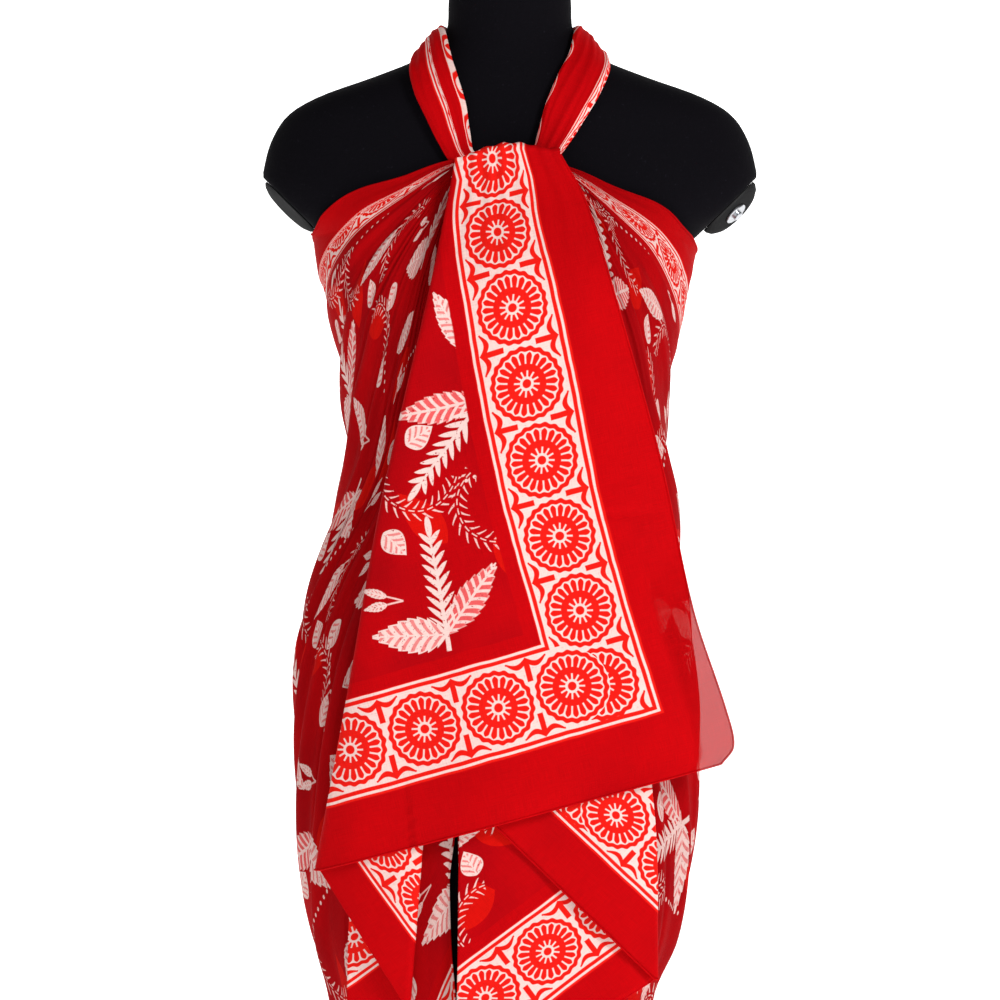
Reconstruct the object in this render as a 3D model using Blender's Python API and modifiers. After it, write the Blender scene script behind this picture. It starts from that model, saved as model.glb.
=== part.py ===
"""A printed cotton sarong tied as a halter-neck wrap on a limbless dress form with a stand.

Metres, +Z up. The form faces -Y, +X is to the right of the front view, and the origin is the
middle of the stand base's underside. The sarong is one rectangle of cloth. Its long edge goes
round the body under the arms, both halves are gathered at the middle of the chest, and the two
upper corners go up round the neck to a knot at the nape. What is left of each end hangs down the
front in flat folds, the left one over the right one.
"""
from collections import namedtuple
from math import atan, ceil, cos, pi, radians, sin, sqrt

import bmesh
import bpy
from mathutils import Matrix, Vector

# Cloth
CLOTH_WALL = 0.0012
SEAM_GAP = 0.0003
FORM_CLEARANCE = 0.0038  # least distance from the form to the cloth's inner face
SECTION_POWER = 2.3  # 2 is an ellipse, more is squarer

# Stand
BASE_RADIUS = 0.170
BASE_EDGE_HEIGHT = 0.008
BASE_HUB_RADIUS = 0.030
BASE_HUB_HEIGHT = 0.026
POLE_RADIUS = 0.015
COLLAR_RADIUS = 0.034
COLLAR_HEIGHT = 0.016

# Arm ends of the form: a slanted flat cut with a plate and a peg on it
ARM_CUT_TOP = Vector((0.2135, 0, 1.349))
ARM_CUT_LOW = Vector((0.1580, 0, 1.2945))
ARM_PLATE_HALF_HEIGHT = 0.030
ARM_PLATE_HALF_DEPTH = 0.030
ARM_PLATE_RISE = 0.004
ARM_PLATE_LEAST = 0.002
ARM_PLATE_RINGS = ((1, 0), (1, 0.35), (0.93, 0.70), (0.80, 0.92), (0.62, 1))  # share of the oval, of the height
ARM_PLATES = {"left": (-1, 0.0055, 0.16), "right": (1, 0.0085, 0.30)}  # side, height, lean towards the front
ARM_PEG_RADIUS = 0.0045
ARM_PEG_HEIGHT = 0.0052
ARM_PEG_FLANGE_RADIUS = 0.0105
ARM_PEG_FLANGE = 0.0018

FormSection = namedtuple("FormSection", "height half_width front back power")
FORM = (
    FormSection(0.615, 0.0800, 0.0600, 0.0620, 2.2),
    FormSection(0.625, 0.1000, 0.0720, 0.0740, 2.2),
    FormSection(0.650, 0.1150, 0.0820, 0.0850, 2.2),
    FormSection(0.700, 0.1290, 0.0880, 0.0940, 2.2),
    FormSection(0.760, 0.1420, 0.0920, 0.1040, 2.2),
    FormSection(0.820, 0.1490, 0.0940, 0.1140, 2.2),
    FormSection(0.880, 0.1500, 0.0940, 0.1180, 2.2),
    FormSection(0.940, 0.1440, 0.0910, 0.1120, 2.2),
    FormSection(1.000, 0.1340, 0.0860, 0.0990, 2.2),
    FormSection(1.060, 0.1220, 0.0830, 0.0860, 2.2),
    FormSection(1.105, 0.1190, 0.0830, 0.0820, 2.2),
    FormSection(1.140, 0.1230, 0.0890, 0.0840, 2.2),
    FormSection(1.180, 0.1330, 0.0990, 0.0880, 2.2),
    FormSection(1.220, 0.1430, 0.1060, 0.0920, 2.2),
    FormSection(1.250, 0.1480, 0.1050, 0.0950, 2.3),
    FormSection(1.270, 0.1480, 0.1000, 0.0950, 2.3),
    FormSection(1.286, 0.1500, 0.0950, 0.0950, 2.3),
    FormSection(1.300, 0.1660, 0.0900, 0.0950, 2.3),
    FormSection(1.318, 0.1970, 0.0840, 0.0950, 2.3),
    FormSection(1.338, 0.2130, 0.0780, 0.0945, 2.3),
    FormSection(1.360, 0.2120, 0.0720, 0.0930, 2.3),
    FormSection(1.385, 0.2040, 0.0660, 0.0900, 2.2),
    FormSection(1.405, 0.1890, 0.0610, 0.0870, 2.2),
    FormSection(1.420, 0.1620, 0.0570, 0.0840, 2.1),
    FormSection(1.436, 0.1170, 0.0530, 0.0800, 2.0),
    FormSection(1.452, 0.0780, 0.0490, 0.0740, 2.0),
    FormSection(1.470, 0.0570, 0.0470, 0.0660, 2.0),
    FormSection(1.500, 0.0530, 0.0470, 0.0590, 2.0),
    FormSection(1.532, 0.0520, 0.0470, 0.0570, 2.0),
)

FORM_SIDES = 32

WrapSection = namedtuple("WrapSection", "height left right front back")
WRAP = (
    WrapSection(0.250, 0.1380, 0.1260, 0.0980, 0.1130),
    WrapSection(0.400, 0.1370, 0.1220, 0.0970, 0.1100),
    WrapSection(0.500, 0.1380, 0.1180, 0.0970, 0.1080),
    WrapSection(0.600, 0.1420, 0.1150, 0.0980, 0.1080),
    WrapSection(0.645, 0.1500, 0.1180, 0.0990, 0.1100),
    WrapSection(0.690, 0.1640, 0.1380, 0.1020, 0.1140),
    WrapSection(0.755, 0.1730, 0.1510, 0.1050, 0.1200),
    WrapSection(0.815, 0.1770, 0.1560, 0.1060, 0.1250),
    WrapSection(0.880, 0.1790, 0.1570, 0.1060, 0.1270),
    WrapSection(0.940, 0.1770, 0.1530, 0.1060, 0.1240),
    WrapSection(0.985, 0.1690, 0.1480, 0.1050, 0.1160),
    WrapSection(1.030, 0.1560, 0.1430, 0.1040, 0.1060),
    WrapSection(1.070, 0.1440, 0.1390, 0.1040, 0.0980),
    WrapSection(1.110, 0.1380, 0.1340, 0.1050, 0.0930),
    WrapSection(1.155, 0.1410, 0.1330, 0.1080, 0.0940),
    WrapSection(1.200, 0.1470, 0.1410, 0.1120, 0.0970),
    WrapSection(1.240, 0.1570, 0.1490, 0.1130, 0.0995),
    WrapSection(1.265, 0.1630, 0.1540, 0.1090, 0.1010),
    WrapSection(1.300, 0.1680, 0.1620, 0.0990, 0.1020),
    WrapSection(1.330, 0.1700, 0.1660, 0.0880, 0.1020),
    WrapSection(1.360, 0.1700, 0.1680, 0.0810, 0.1020),
)
RIGHT_EDGE_DROP = 0.007  # how much lower the right half's upper edge is at the side

# The wrap's upper edge and hem, by the angle round the body from the front, the same on both sides
EdgeRow = namedtuple("EdgeRow", "angle top hem")
EDGES = (
    EdgeRow(0, 1.362, 0.540),
    EdgeRow(14, 1.358, 0.525),
    EdgeRow(31, 1.340, 0.465),
    EdgeRow(46, 1.328, 0.415),
    EdgeRow(60, 1.314, 0.375),
    EdgeRow(75, 1.300, 0.338),
    EdgeRow(90, 1.292, 0.310),
    EdgeRow(110, 1.287, 0.287),
    EdgeRow(135, 1.285, 0.268),
    EdgeRow(160, 1.284, 0.256),
    EdgeRow(180, 1.284, 0.252),
)

# Folds that fan out from the gather. share is the fold's place in the fan, 0 along the front
# opening and 1 along the upper edge, and half_width is in the same measure.
Fold = namedtuple("Fold", "share half_width height")
LEFT_FOLDS = (
    Fold(0.090, 0.020, 0.0030),
    Fold(0.200, 0.020, 0.0040),
    Fold(0.320, 0.022, 0.0075),
    Fold(0.410, 0.019, 0.0085),
    Fold(0.495, 0.019, 0.0065),
    Fold(0.575, 0.018, 0.0085),
    Fold(0.660, 0.020, 0.0070),
    Fold(0.750, 0.020, 0.0060),
    Fold(0.840, 0.019, 0.0050),
    Fold(0.915, 0.016, 0.0030),
)
RIGHT_FOLDS = (
    Fold(0.120, 0.022, 0.0030),
    Fold(0.250, 0.022, 0.0045),
    Fold(0.350, 0.020, 0.0080),
    Fold(0.445, 0.021, 0.0070),
    Fold(0.545, 0.020, 0.0080),
    Fold(0.640, 0.022, 0.0060),
    Fold(0.740, 0.021, 0.0065),
    Fold(0.845, 0.020, 0.0040),
)
FOLD_STEEPNESS = 1.1
FOLD_BEND = 0.040
HEM_SHARE = 0.42  # fan share of the line that ends at the middle of the back hem
FAN_COLUMNS = 56
FAN_ROWS = 15

# Hanging ends, as lines from the gather down to the hem. x and z are read in the front view, and
# behind is how far the cloth lies behind the over panel's face.
DrapeLine = namedtuple("DrapeLine", "down x z behind")
OVER_FREE_EDGE = (
    DrapeLine(0.00, 0.0430, 1.3640, 0.000),
    DrapeLine(0.08, 0.0630, 1.3280, 0.000),
    DrapeLine(0.25, 0.0890, 1.2440, 0.000),
    DrapeLine(0.50, 0.1280, 1.1040, 0.000),
    DrapeLine(0.75, 0.1560, 0.9760, 0.000),
    DrapeLine(0.92, 0.1850, 0.8880, 0.000),
    DrapeLine(0.97, 0.1905, 0.8600, 0.000),
    DrapeLine(1.00, 0.1800, 0.8450, 0.000),
)
OVER_FOLD = (
    DrapeLine(0.00, -0.0440, 1.3590, 0.000),
    DrapeLine(0.20, -0.0640, 1.2550, 0.000),
    DrapeLine(0.50, -0.1060, 1.0680, 0.000),
    DrapeLine(0.75, -0.1330, 0.9130, 0.000),
    DrapeLine(1.00, -0.1620, 0.7540, 0.000),
)
OVER_SECOND_FOLD = (
    DrapeLine(0.00, -0.0280, 1.3500, 0.006),
    DrapeLine(0.50, -0.0610, 1.0000, 0.008),
    DrapeLine(0.80, -0.0800, 0.7800, 0.009),
    DrapeLine(1.00, -0.0900, 0.6420, 0.010),
)
OVER_THIRD_FOLD = (
    DrapeLine(0.00, -0.0450, 1.3380, 0.012),
    DrapeLine(0.50, -0.1060, 0.9700, 0.016),
    DrapeLine(0.80, -0.1360, 0.7350, 0.0204),
    DrapeLine(1.00, -0.1400, 0.5850, 0.020),
)
UNDER_FREE_EDGE = (
    DrapeLine(0.00, -0.0180, 1.3520, 0.0088),
    DrapeLine(0.50, -0.0420, 1.1000, 0.008),
    DrapeLine(1.00, -0.0560, 0.8350, 0.008),
)
UNDER_FOLD = (
    DrapeLine(0.00, 0.0340, 1.3460, 0.0088),
    DrapeLine(0.50, 0.0930, 1.0000, 0.008),
    DrapeLine(0.80, 0.1200, 0.8000, 0.008),
    DrapeLine(1.00, 0.1230, 0.6620, 0.008),
)
UNDER_OPENING_EDGE = (
    DrapeLine(0.00, -0.0100, 1.3300, 0.0130),
    DrapeLine(0.50, -0.0360, 0.9800, 0.015),
    DrapeLine(0.68, -0.0430, 0.7900, 0.015),
    DrapeLine(0.85, -0.0450, 0.6600, 0.015),
    DrapeLine(1.00, -0.0480, 0.5500, 0.015),
)
HEM_ROW = 0.97  # where the last row above a hem lies, close enough to round a corner
OVER_COLUMNS = (12, 5, 5)
OVER_ROWS = 14
UNDER_COLUMNS = (7, 8)
UNDER_ROWS = 12
PANEL_ROLL_RADIUS = 0.0050  # the over panel rolls back over its upper edge
OVER_HALF_WIDTH_LEFT = 0.205  # the panel's curve in plan, left and right of the middle
OVER_HALF_WIDTH_RIGHT = 0.265

DepthRow = namedtuple("DepthRow", "height depth")
PANEL_FACE = (
    DepthRow(0.500, 0.1270),
    DepthRow(0.650, 0.1280),
    DepthRow(0.800, 0.1290),
    DepthRow(1.000, 0.1300),
    DepthRow(1.150, 0.1325),
    DepthRow(1.220, 0.1335),
    DepthRow(1.260, 0.1310),
    DepthRow(1.300, 0.1190),
    DepthRow(1.340, 0.1040),
    DepthRow(1.375, 0.0960),
)

# Halter straps, as points from under the panels, where they cross, up the neck and round to the
# nape. over_form is how far the strap's inner face lies off the form.
StrapPoint = namedtuple("StrapPoint", "share x z y_guess width thickness over_form")
LEFT_STRAP = (
    StrapPoint(0.00, 0.0290, 1.3480, -0.080, 0.0130, 0.0050, 0.0024),
    StrapPoint(0.08, 0.0050, 1.3515, -0.080, 0.0150, 0.0050, 0.0024),
    StrapPoint(0.16, -0.0200, 1.3545, -0.080, 0.0180, 0.0050, 0.0024),
    StrapPoint(0.24, -0.0400, 1.3640, -0.080, 0.0220, 0.0055, 0.0024),
    StrapPoint(0.31, -0.0490, 1.3850, -0.078, 0.0300, 0.0080, 0.0026),
    StrapPoint(0.39, -0.0560, 1.4080, -0.074, 0.0370, 0.0090, 0.0026),
    StrapPoint(0.48, -0.0650, 1.4320, -0.066, 0.0400, 0.0090, 0.0028),
    StrapPoint(0.57, -0.0710, 1.4530, -0.045, 0.0380, 0.0090, 0.0023),
    StrapPoint(0.67, -0.0700, 1.4660, -0.015, 0.0340, 0.0100, 0.0021),
    StrapPoint(0.78, -0.0640, 1.4670, 0.020, 0.0310, 0.0100, 0.0021),
    StrapPoint(0.89, -0.0460, 1.4610, 0.055, 0.0270, 0.0100, 0.0024),
    StrapPoint(1.00, -0.0185, 1.4530, 0.077, 0.0210, 0.0100, 0.0026),
)
RIGHT_STRAP = (
    StrapPoint(0.00, -0.0200, 1.3490, -0.088, 0.0130, 0.0070, 0.0086),
    StrapPoint(0.08, -0.0030, 1.3515, -0.088, 0.0150, 0.0070, 0.0086),
    StrapPoint(0.16, 0.0140, 1.3560, -0.088, 0.0180, 0.0070, 0.0086),
    StrapPoint(0.24, 0.0290, 1.3660, -0.086, 0.0220, 0.0070, 0.0078),
    StrapPoint(0.31, 0.0390, 1.3850, -0.079, 0.0300, 0.0080, 0.0036),
    StrapPoint(0.39, 0.0490, 1.4080, -0.074, 0.0370, 0.0090, 0.0028),
    StrapPoint(0.48, 0.0610, 1.4320, -0.066, 0.0400, 0.0090, 0.0028),
) + tuple(point._replace(x=-point.x) for point in LEFT_STRAP[7:])
STRAP_STEPS = 30
STRAP_SIDES = 12
STRAP_PLEATS = 3
STRAP_PLEAT_DEPTH = 0.0010

KNOT_CENTRE = Vector((0.0, 0.0894, 1.4500))
KNOT_SIZE = (0.0190, 0.0125, 0.0190)
TailRow = namedtuple("TailRow", "down width middle_x off_form")
TAIL = (
    TailRow(0.00, 0.0140, 0.0085, 0.0060),
    TailRow(0.25, 0.0240, 0.0140, 0.0080),
    TailRow(0.60, 0.0420, 0.0240, 0.0130),
    TailRow(1.00, 0.0560, 0.0320, 0.0160),
)
TAIL_TOP = 1.4323
LEFT_TAIL_LENGTH = 0.175
RIGHT_TAIL_LENGTH = 0.150
TAIL_POINT_DROP = 0.030  # how much lower the cloth's corner is than the tail's other side
TAIL_WAVE = 0.0035

RED_CLOTH = ("red printed cotton", (0.60, 0.010, 0.016), 0.85, 0.0)
BLACK_JERSEY = ("black jersey", (0.012, 0.012, 0.014), 0.9, 0.0)
BLACK_ENAMEL = ("black enamel", (0.02, 0.02, 0.022), 0.45, 0.0)
STEEL = ("bright steel", (0.62, 0.62, 0.64), 0.3, 1.0)


def smooth_value(rows, key, column):
    """The column's value at key, on a smooth curve through the rows. The first column is the key."""
    last = len(rows) - 1
    key = min(max(key, rows[0][0]), rows[last][0])
    i = 0
    while i < last - 1 and rows[i + 1][0] < key:
        i += 1

    def value(n):
        return getattr(rows[n], column)

    def slope(n):
        low, high = max(n - 1, 0), min(n + 1, last)
        return (value(high) - value(low)) / (rows[high][0] - rows[low][0])

    span = rows[i + 1][0] - rows[i][0]
    t = (key - rows[i][0]) / span
    a, b = value(i), value(i + 1)
    return (
        a * (1 + 2 * t) * (1 - t) ** 2
        + b * t * t * (3 - 2 * t)
        + slope(i) * span * t * (1 - t) ** 2
        - slope(i + 1) * span * t * t * (1 - t)
    )


def mix(a, b, t):
    return a + (b - a) * t


def signed_power(value, power):
    return abs(value) ** power * (1 if value >= 0 else -1)


# The form's surface, as a measure of how far a point is from it

ARM_CUT_NORMAL = Vector((
    ARM_CUT_TOP.z - ARM_CUT_LOW.z, 0, ARM_CUT_LOW.x - ARM_CUT_TOP.x,
)).normalized()


def form_share(x, y, z):
    """1 on the form's lofted surface, less inside it and more outside it."""
    half_width = smooth_value(FORM, z, "half_width")
    depth = smooth_value(FORM, z, "front" if y < 0 else "back")
    power = smooth_value(FORM, z, "power")
    return ((abs(x) / half_width) ** power + (abs(y) / depth) ** power) ** (1 / power)


def form_distance(point):
    """(distance outside the form, direction straight out of it), near enough for small distances."""
    step = 0.0004
    x, y, z = point
    share = form_share(x, y, z)
    gradient = Vector((
        form_share(x + step, y, z) - share,
        form_share(x, y + step, z) - share,
        form_share(x, y, z + step) - share,
    )) / step
    steepness = max(gradient.length, 1e-6)
    distance = (share - 1) / steepness
    side = 1 if x >= 0 else -1
    cut_normal = Vector((ARM_CUT_NORMAL.x * side, 0, ARM_CUT_NORMAL.z))
    beyond_cut = (Vector((x * side, 0, z)) - ARM_CUT_TOP).dot(ARM_CUT_NORMAL)
    above_cut_foot = (Vector((x * side, 0, z)) - ARM_CUT_LOW).dot(ARM_CUT_TOP - ARM_CUT_LOW) > 0
    if above_cut_foot and beyond_cut > distance:
        return beyond_cut, cut_normal
    return distance, gradient / steepness


def clear_of_form(point, gap):
    """The point, moved straight out of the form where it is nearer than gap."""
    for _ in range(6):
        distance, outward = form_distance(point)
        if distance >= gap - 1e-5:
            break
        point = point + outward * (gap - distance)
    return point


def settled_on_form(point, gap):
    """The point, moved in or out until it is gap from the form."""
    for _ in range(8):
        distance, outward = form_distance(point)
        point = point + outward * (gap - distance)
    return point


# The wrap: unrolled places on the body, where round is the distance round from the front middle

QUARTER_ROUND = 0.235
ROUND_POWER = 0.8
GATHER_ROUND = 0.040
GATHER_HEIGHT = 1.361
GATHER_RADIUS = 0.014
OPENING_ROUND = 0.052
FULL_ROUND = QUARTER_ROUND * 2 ** ROUND_POWER


def angle_of(round_distance):
    return 90 * (max(round_distance, 0) / QUARTER_ROUND) ** (1 / ROUND_POWER)


def wrap_point(side, round_distance, height, lift):
    """A point of the wrap's inner face. side is -1 for the left half and 1 for the right one."""
    angle = radians(angle_of(round_distance))
    half_width = smooth_value(WRAP, height, "left" if side < 0 else "right")
    depth = smooth_value(WRAP, height, "front" if cos(angle) > 0 else "back")
    x = side * half_width * signed_power(sin(angle), 2 / SECTION_POWER)
    y = -depth * signed_power(cos(angle), 2 / SECTION_POWER)
    outward = Vector((x / half_width ** 2, y / depth ** 2, 0)).normalized()
    point = clear_of_form(Vector((x, y, height)), FORM_CLEARANCE)
    return point + outward * lift


def fan_end(share):
    """Where the fan line of that share ends: on the hem, or up the middle of the back."""
    if share <= HEM_SHARE:
        along = share / HEM_SHARE
        round_distance = mix(OPENING_ROUND, FULL_ROUND, along ** 1.15)
        return round_distance, smooth_value(EDGES, angle_of(round_distance), "hem")
    up = (share - HEM_SHARE) / (1 - HEM_SHARE)
    return FULL_ROUND, mix(EDGES[-1].hem, EDGES[-1].top, up)


def fold_lift(folds, share, down):
    """How far the folds lift the cloth at that place of the fan."""
    lift = 0
    for fold in folds:
        off = min(abs(share - fold.share) / fold.half_width, 2)
        height = min(fold.height, FOLD_STEEPNESS * fold.half_width * down, FOLD_BEND * down * down)
        lift += height * cos(off * pi / 4) ** 2
    return lift * (1 - 0.2 * down)


def edge_bend(side, round_distance):
    """How far the upper edge is above the straight line from the gather to the back."""
    angle = angle_of(round_distance)
    along = (round_distance - GATHER_ROUND) / (FULL_ROUND - GATHER_ROUND)
    drop = RIGHT_EDGE_DROP * sqrt(max(sin(radians(angle)), 0)) if side > 0 else 0
    return smooth_value(EDGES, angle, "top") - drop - mix(GATHER_HEIGHT, EDGES[-1].top, along)


def crossing_shift(height, down):
    """How far the right half's front edge has moved over to the left at that height."""
    crossed = min(max((1.30 - height) / 0.42, 0), 1)
    return mix(0, -0.0455 - mix(GATHER_ROUND, OPENING_ROUND, down), crossed)


def wrap_half(side, folds, columns, rows):
    """Rows of points over one half of the wrap, from the gather out along the fan."""
    grid = []
    for i in range(columns + 1):
        share = i / columns
        end_round, end_height = fan_end(share)
        length = sqrt((end_round - GATHER_ROUND) ** 2 + (end_height - GATHER_HEIGHT) ** 2)
        first = GATHER_RADIUS / length
        line = []
        for j in range(rows + 1):
            down = mix(first, 1, (j / rows) ** 1.25)
            round_distance = mix(GATHER_ROUND, end_round, down)
            height = mix(GATHER_HEIGHT, end_height, down)
            height += edge_bend(side, round_distance) * share ** 3
            if side > 0 and share < 0.12:
                round_distance += crossing_shift(height, down) * (1 - share / 0.12) ** 2
            line.append(front_or_side_point(side, round_distance, height, fold_lift(folds, share, down)))
        grid.append(line)
    return grid


def front_or_side_point(side, round_distance, height, lift):
    if round_distance >= 0:
        return wrap_point(side, round_distance, height, lift)
    return wrap_point(-side, -round_distance, height, lift)


# The hanging ends


def panel_face_depth(x, z):
    """How far in front of the middle plane the over panel's face lies."""
    half_width = OVER_HALF_WIDTH_LEFT if x < 0 else OVER_HALF_WIDTH_RIGHT
    share = min(abs(x) / half_width, 0.98)
    return smooth_value(PANEL_FACE, z, "depth") * (1 - share ** SECTION_POWER) ** (1 / SECTION_POWER)


def drape_line_point(line, down):
    return [smooth_value(line, down, column) for column in ("x", "z", "behind")]


def drape_row(lines, counts, down):
    """Points across one row of a hanging end: flat stretches between the lines, round folds at them."""
    ends = [drape_line_point(line, down) for line in lines]
    row = []
    for i in range(len(lines) - 1):
        (x0, z0, behind0), (x1, z1, behind1) = ends[i], ends[i + 1]
        behind = behind0 if i == 0 else ends[i][2]
        level = layer_level(ends, i)
        first = 0 if i == 0 else 1
        last = counts[i] if i == len(lines) - 2 else counts[i] - 1
        for n in range(first, last + 1):
            t = n / counts[i]
            row.append((mix(x0, x1, t), mix(z0, z1, t), level))
        if i < len(lines) - 2:
            turn = 1 if x1 > x0 else -1
            below = layer_level(ends, i + 1)
            radius = (below - level) / 2
            for step in range(5):
                angle = pi * step / 4
                row.append((x1 + turn * radius * sin(angle), z1, level + radius * (1 - cos(angle))))
    return row


def layer_level(ends, i):
    """How far behind the panel's face the stretch between line i and the next one lies."""
    return ends[0][2] if i == 0 else ends[i + 1][2]


def drape_sheet(lines, counts, rows):
    grid = []
    for j in range(rows + 1):
        down = HEM_ROW * j / (rows - 1) if j < rows else 1
        grid.append([
            Vector((x, -(panel_face_depth(x, z) - behind), z))
            for x, z, behind in drape_row(lines, counts, down)
        ])
    return grid


def panel_roll(first_row, face_columns, steps=4):
    """Rows that roll back over the panel's upper edge, above its first row. The folds stay flat."""
    rows = []
    for step in range(steps, 0, -1):
        angle = pi * 0.72 * step / steps
        back = PANEL_ROLL_RADIUS * (1 - cos(angle))
        up = PANEL_ROLL_RADIUS * sin(angle)
        row = []
        for n, point in enumerate(first_row):
            share = min(max((face_columns - n) / 3, 0), 1)
            row.append(point + Vector((0, back * share, mix(0.0006 * step, up, share))))
        rows.append(row)
    return rows


# Building objects


def material(settings):
    name, colour, roughness, metallic = settings
    made = bpy.data.materials.get(name)
    if made is None:
        made = bpy.data.materials.new(name)
        made.use_nodes = True
        shader = made.node_tree.nodes["Principled BSDF"]
        shader.inputs["Base Color"].default_value = (*colour, 1)
        shader.inputs["Roughness"].default_value = roughness
        shader.inputs["Metallic"].default_value = metallic
        made.diffuse_color = (*colour, 1)
    return made


def new_object(name, mesh, look, collection):
    made = bpy.data.objects.new(name, mesh)
    made.data.materials.append(material(look))
    collection.objects.link(made)
    return made


def grid_mesh(name, grid, flip=False):
    """An open mesh through rows of points."""
    across = len(grid[0])
    points = [point for row in grid for point in row]
    faces = []
    for j in range(len(grid) - 1):
        for i in range(across - 1):
            corner = j * across + i
            face = (corner, corner + 1, corner + across + 1, corner + across)
            faces.append(face[::-1] if flip else face)
    mesh = bpy.data.meshes.new(name)
    mesh.from_pydata(points, [], faces)
    mesh.shade_smooth()
    return mesh


def cloth_sheet(name, grid, collection, flip=False, wall=CLOTH_WALL):
    """A wall of cloth whose inner face goes through the rows of points."""
    made = new_object(name, grid_mesh(name, grid, flip), RED_CLOTH, collection)
    solidify = made.modifiers.new("cloth wall", "SOLIDIFY")
    solidify.thickness = wall
    solidify.offset = 1
    return made


def closed_loft(name, rings, look, collection):
    """A closed solid through rings of points, with flat ends."""
    around = len(rings[0])
    points = [point for ring in rings for point in ring]
    faces = [tuple(range(around))[::-1]]
    for j in range(len(rings) - 1):
        for i in range(around):
            a, b = j * around + i, j * around + (i + 1) % around
            faces.append((a, b, b + around, a + around))
    faces.append(tuple(range((len(rings) - 1) * around, len(rings) * around)))
    mesh = bpy.data.meshes.new(name)
    mesh.from_pydata(points, [], faces)
    shape = bmesh.new()
    shape.from_mesh(mesh)
    bmesh.ops.recalc_face_normals(shape, faces=shape.faces)
    shape.to_mesh(mesh)
    shape.free()
    mesh.shade_smooth()
    mesh.set_sharp_from_angle(angle=radians(50))
    return new_object(name, mesh, look, collection)


def turned(name, profile, look, collection, steps=24):
    """A solid turned about its own Z axis. The profile runs from its top down its outer side."""
    mesh = bpy.data.meshes.new(name)
    mesh.from_pydata([(r, 0, z) for r, z in profile], [(i, i + 1) for i in range(len(profile) - 1)], [])
    made = new_object(name, mesh, look, collection)
    screw = made.modifiers.new("turn", "SCREW")
    screw.steps = screw.render_steps = steps
    screw.use_merge_vertices = True
    screw.merge_threshold = 0.00005
    return made


def form_ring(height, sides):
    half_width = smooth_value(FORM, height, "half_width")
    power = smooth_value(FORM, height, "power")
    ring = []
    for i in range(sides):
        angle = 2 * pi * (i + 0.5) / sides
        depth = smooth_value(FORM, height, "front" if sin(angle) < 0 else "back")
        ring.append(Vector((
            half_width * signed_power(cos(angle), 2 / power),
            depth * signed_power(sin(angle), 2 / power),
            height,
        )))
    return ring


def build_form(collection, cutters):
    """The torso from the neck to the thighs, with a slanted flat cut where each arm would start."""
    heights = [row.height for row in FORM]
    levels = []
    for low, high in zip(heights, heights[1:]):
        steps = max(1, ceil((high - low) / 0.045))
        levels += [mix(low, high, n / steps) for n in range(steps)]
    levels.append(heights[-1])
    torso = closed_loft("form_torso", [form_ring(z, FORM_SIDES) for z in levels], BLACK_JERSEY, collection)
    for side, name in ((-1, "left"), (1, "right")):
        cutter = arm_cutter(f"arm_cut_{name}", side, cutters)
        cut = torso.modifiers.new(f"arm cut {name}", "BOOLEAN")
        cut.operation = "DIFFERENCE"
        cut.object = cutter
    return torso


def arm_frame(side):
    """(middle of the cut, its matrix with +Z straight out of the cut)."""
    low, top = ARM_CUT_LOW, ARM_CUT_TOP
    middle = (low + top) / 2
    upward = (top - low).normalized()
    out = Vector((ARM_CUT_NORMAL.x * side, 0, ARM_CUT_NORMAL.z))
    upward = Vector((upward.x * side, 0, upward.z))
    across = upward.cross(out)
    frame = Matrix((across, upward, out)).transposed().to_4x4()
    frame.translation = Vector((middle.x * side, middle.y, middle.z))
    return frame


def arm_cutter(name, side, collection):
    reach, deep = 0.06, 0.30
    half_length = (ARM_CUT_TOP - ARM_CUT_LOW).length / 2
    shape = bmesh.new()
    bmesh.ops.create_cube(shape, size=1)
    bmesh.ops.scale(shape, vec=(deep, 2 * half_length + reach, reach), verts=shape.verts)
    bmesh.ops.translate(shape, vec=(0, reach / 2, reach / 2), verts=shape.verts)
    mesh = bpy.data.meshes.new(name)
    shape.to_mesh(mesh)
    shape.free()
    cutter = bpy.data.objects.new(name, mesh)
    cutter.matrix_world = arm_frame(side)
    cutter.hide_render = True
    cutter.display_type = "WIRE"
    collection.objects.link(cutter)
    return cutter


def build_arm_fittings(collection):
    """A leaning oval plate on each arm cut, and a low flanged peg on the right one."""
    for name, (side, height, lean) in ARM_PLATES.items():
        frame = arm_frame(side)
        rings = []
        for share, level in ARM_PLATE_RINGS:
            ring = []
            for i in range(32):
                back = ARM_PLATE_HALF_DEPTH * share * cos(2 * pi * i / 32)
                up = ARM_PLATE_RISE + ARM_PLATE_HALF_HEIGHT * share * sin(2 * pi * i / 32)
                out = max(height + lean * back, ARM_PLATE_LEAST) * level
                ring.append(frame @ Vector((back * side, up, SEAM_GAP + out)))
            rings.append(ring)
        closed_loft(f"arm_plate_{name}", rings, BLACK_ENAMEL, collection)
    side, height, lean = ARM_PLATES["right"]
    top = SEAM_GAP + ARM_PEG_HEIGHT
    flange = SEAM_GAP + ARM_PEG_FLANGE
    peg = turned("arm_peg_right", [
        (0, top),
        (ARM_PEG_RADIUS * 0.8, top),
        (ARM_PEG_RADIUS, top - 0.0007),
        (ARM_PEG_RADIUS, flange),
        (ARM_PEG_FLANGE_RADIUS * 0.95, flange),
        (ARM_PEG_FLANGE_RADIUS, flange - 0.0006),
        (ARM_PEG_FLANGE_RADIUS, SEAM_GAP),
        (0, SEAM_GAP),
    ], STEEL, collection, steps=24)
    seat = Matrix.Translation((0, ARM_PLATE_RISE, SEAM_GAP + height))
    peg.matrix_world = arm_frame(side) @ seat @ Matrix.Rotation(-atan(lean), 4, "Y")


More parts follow.
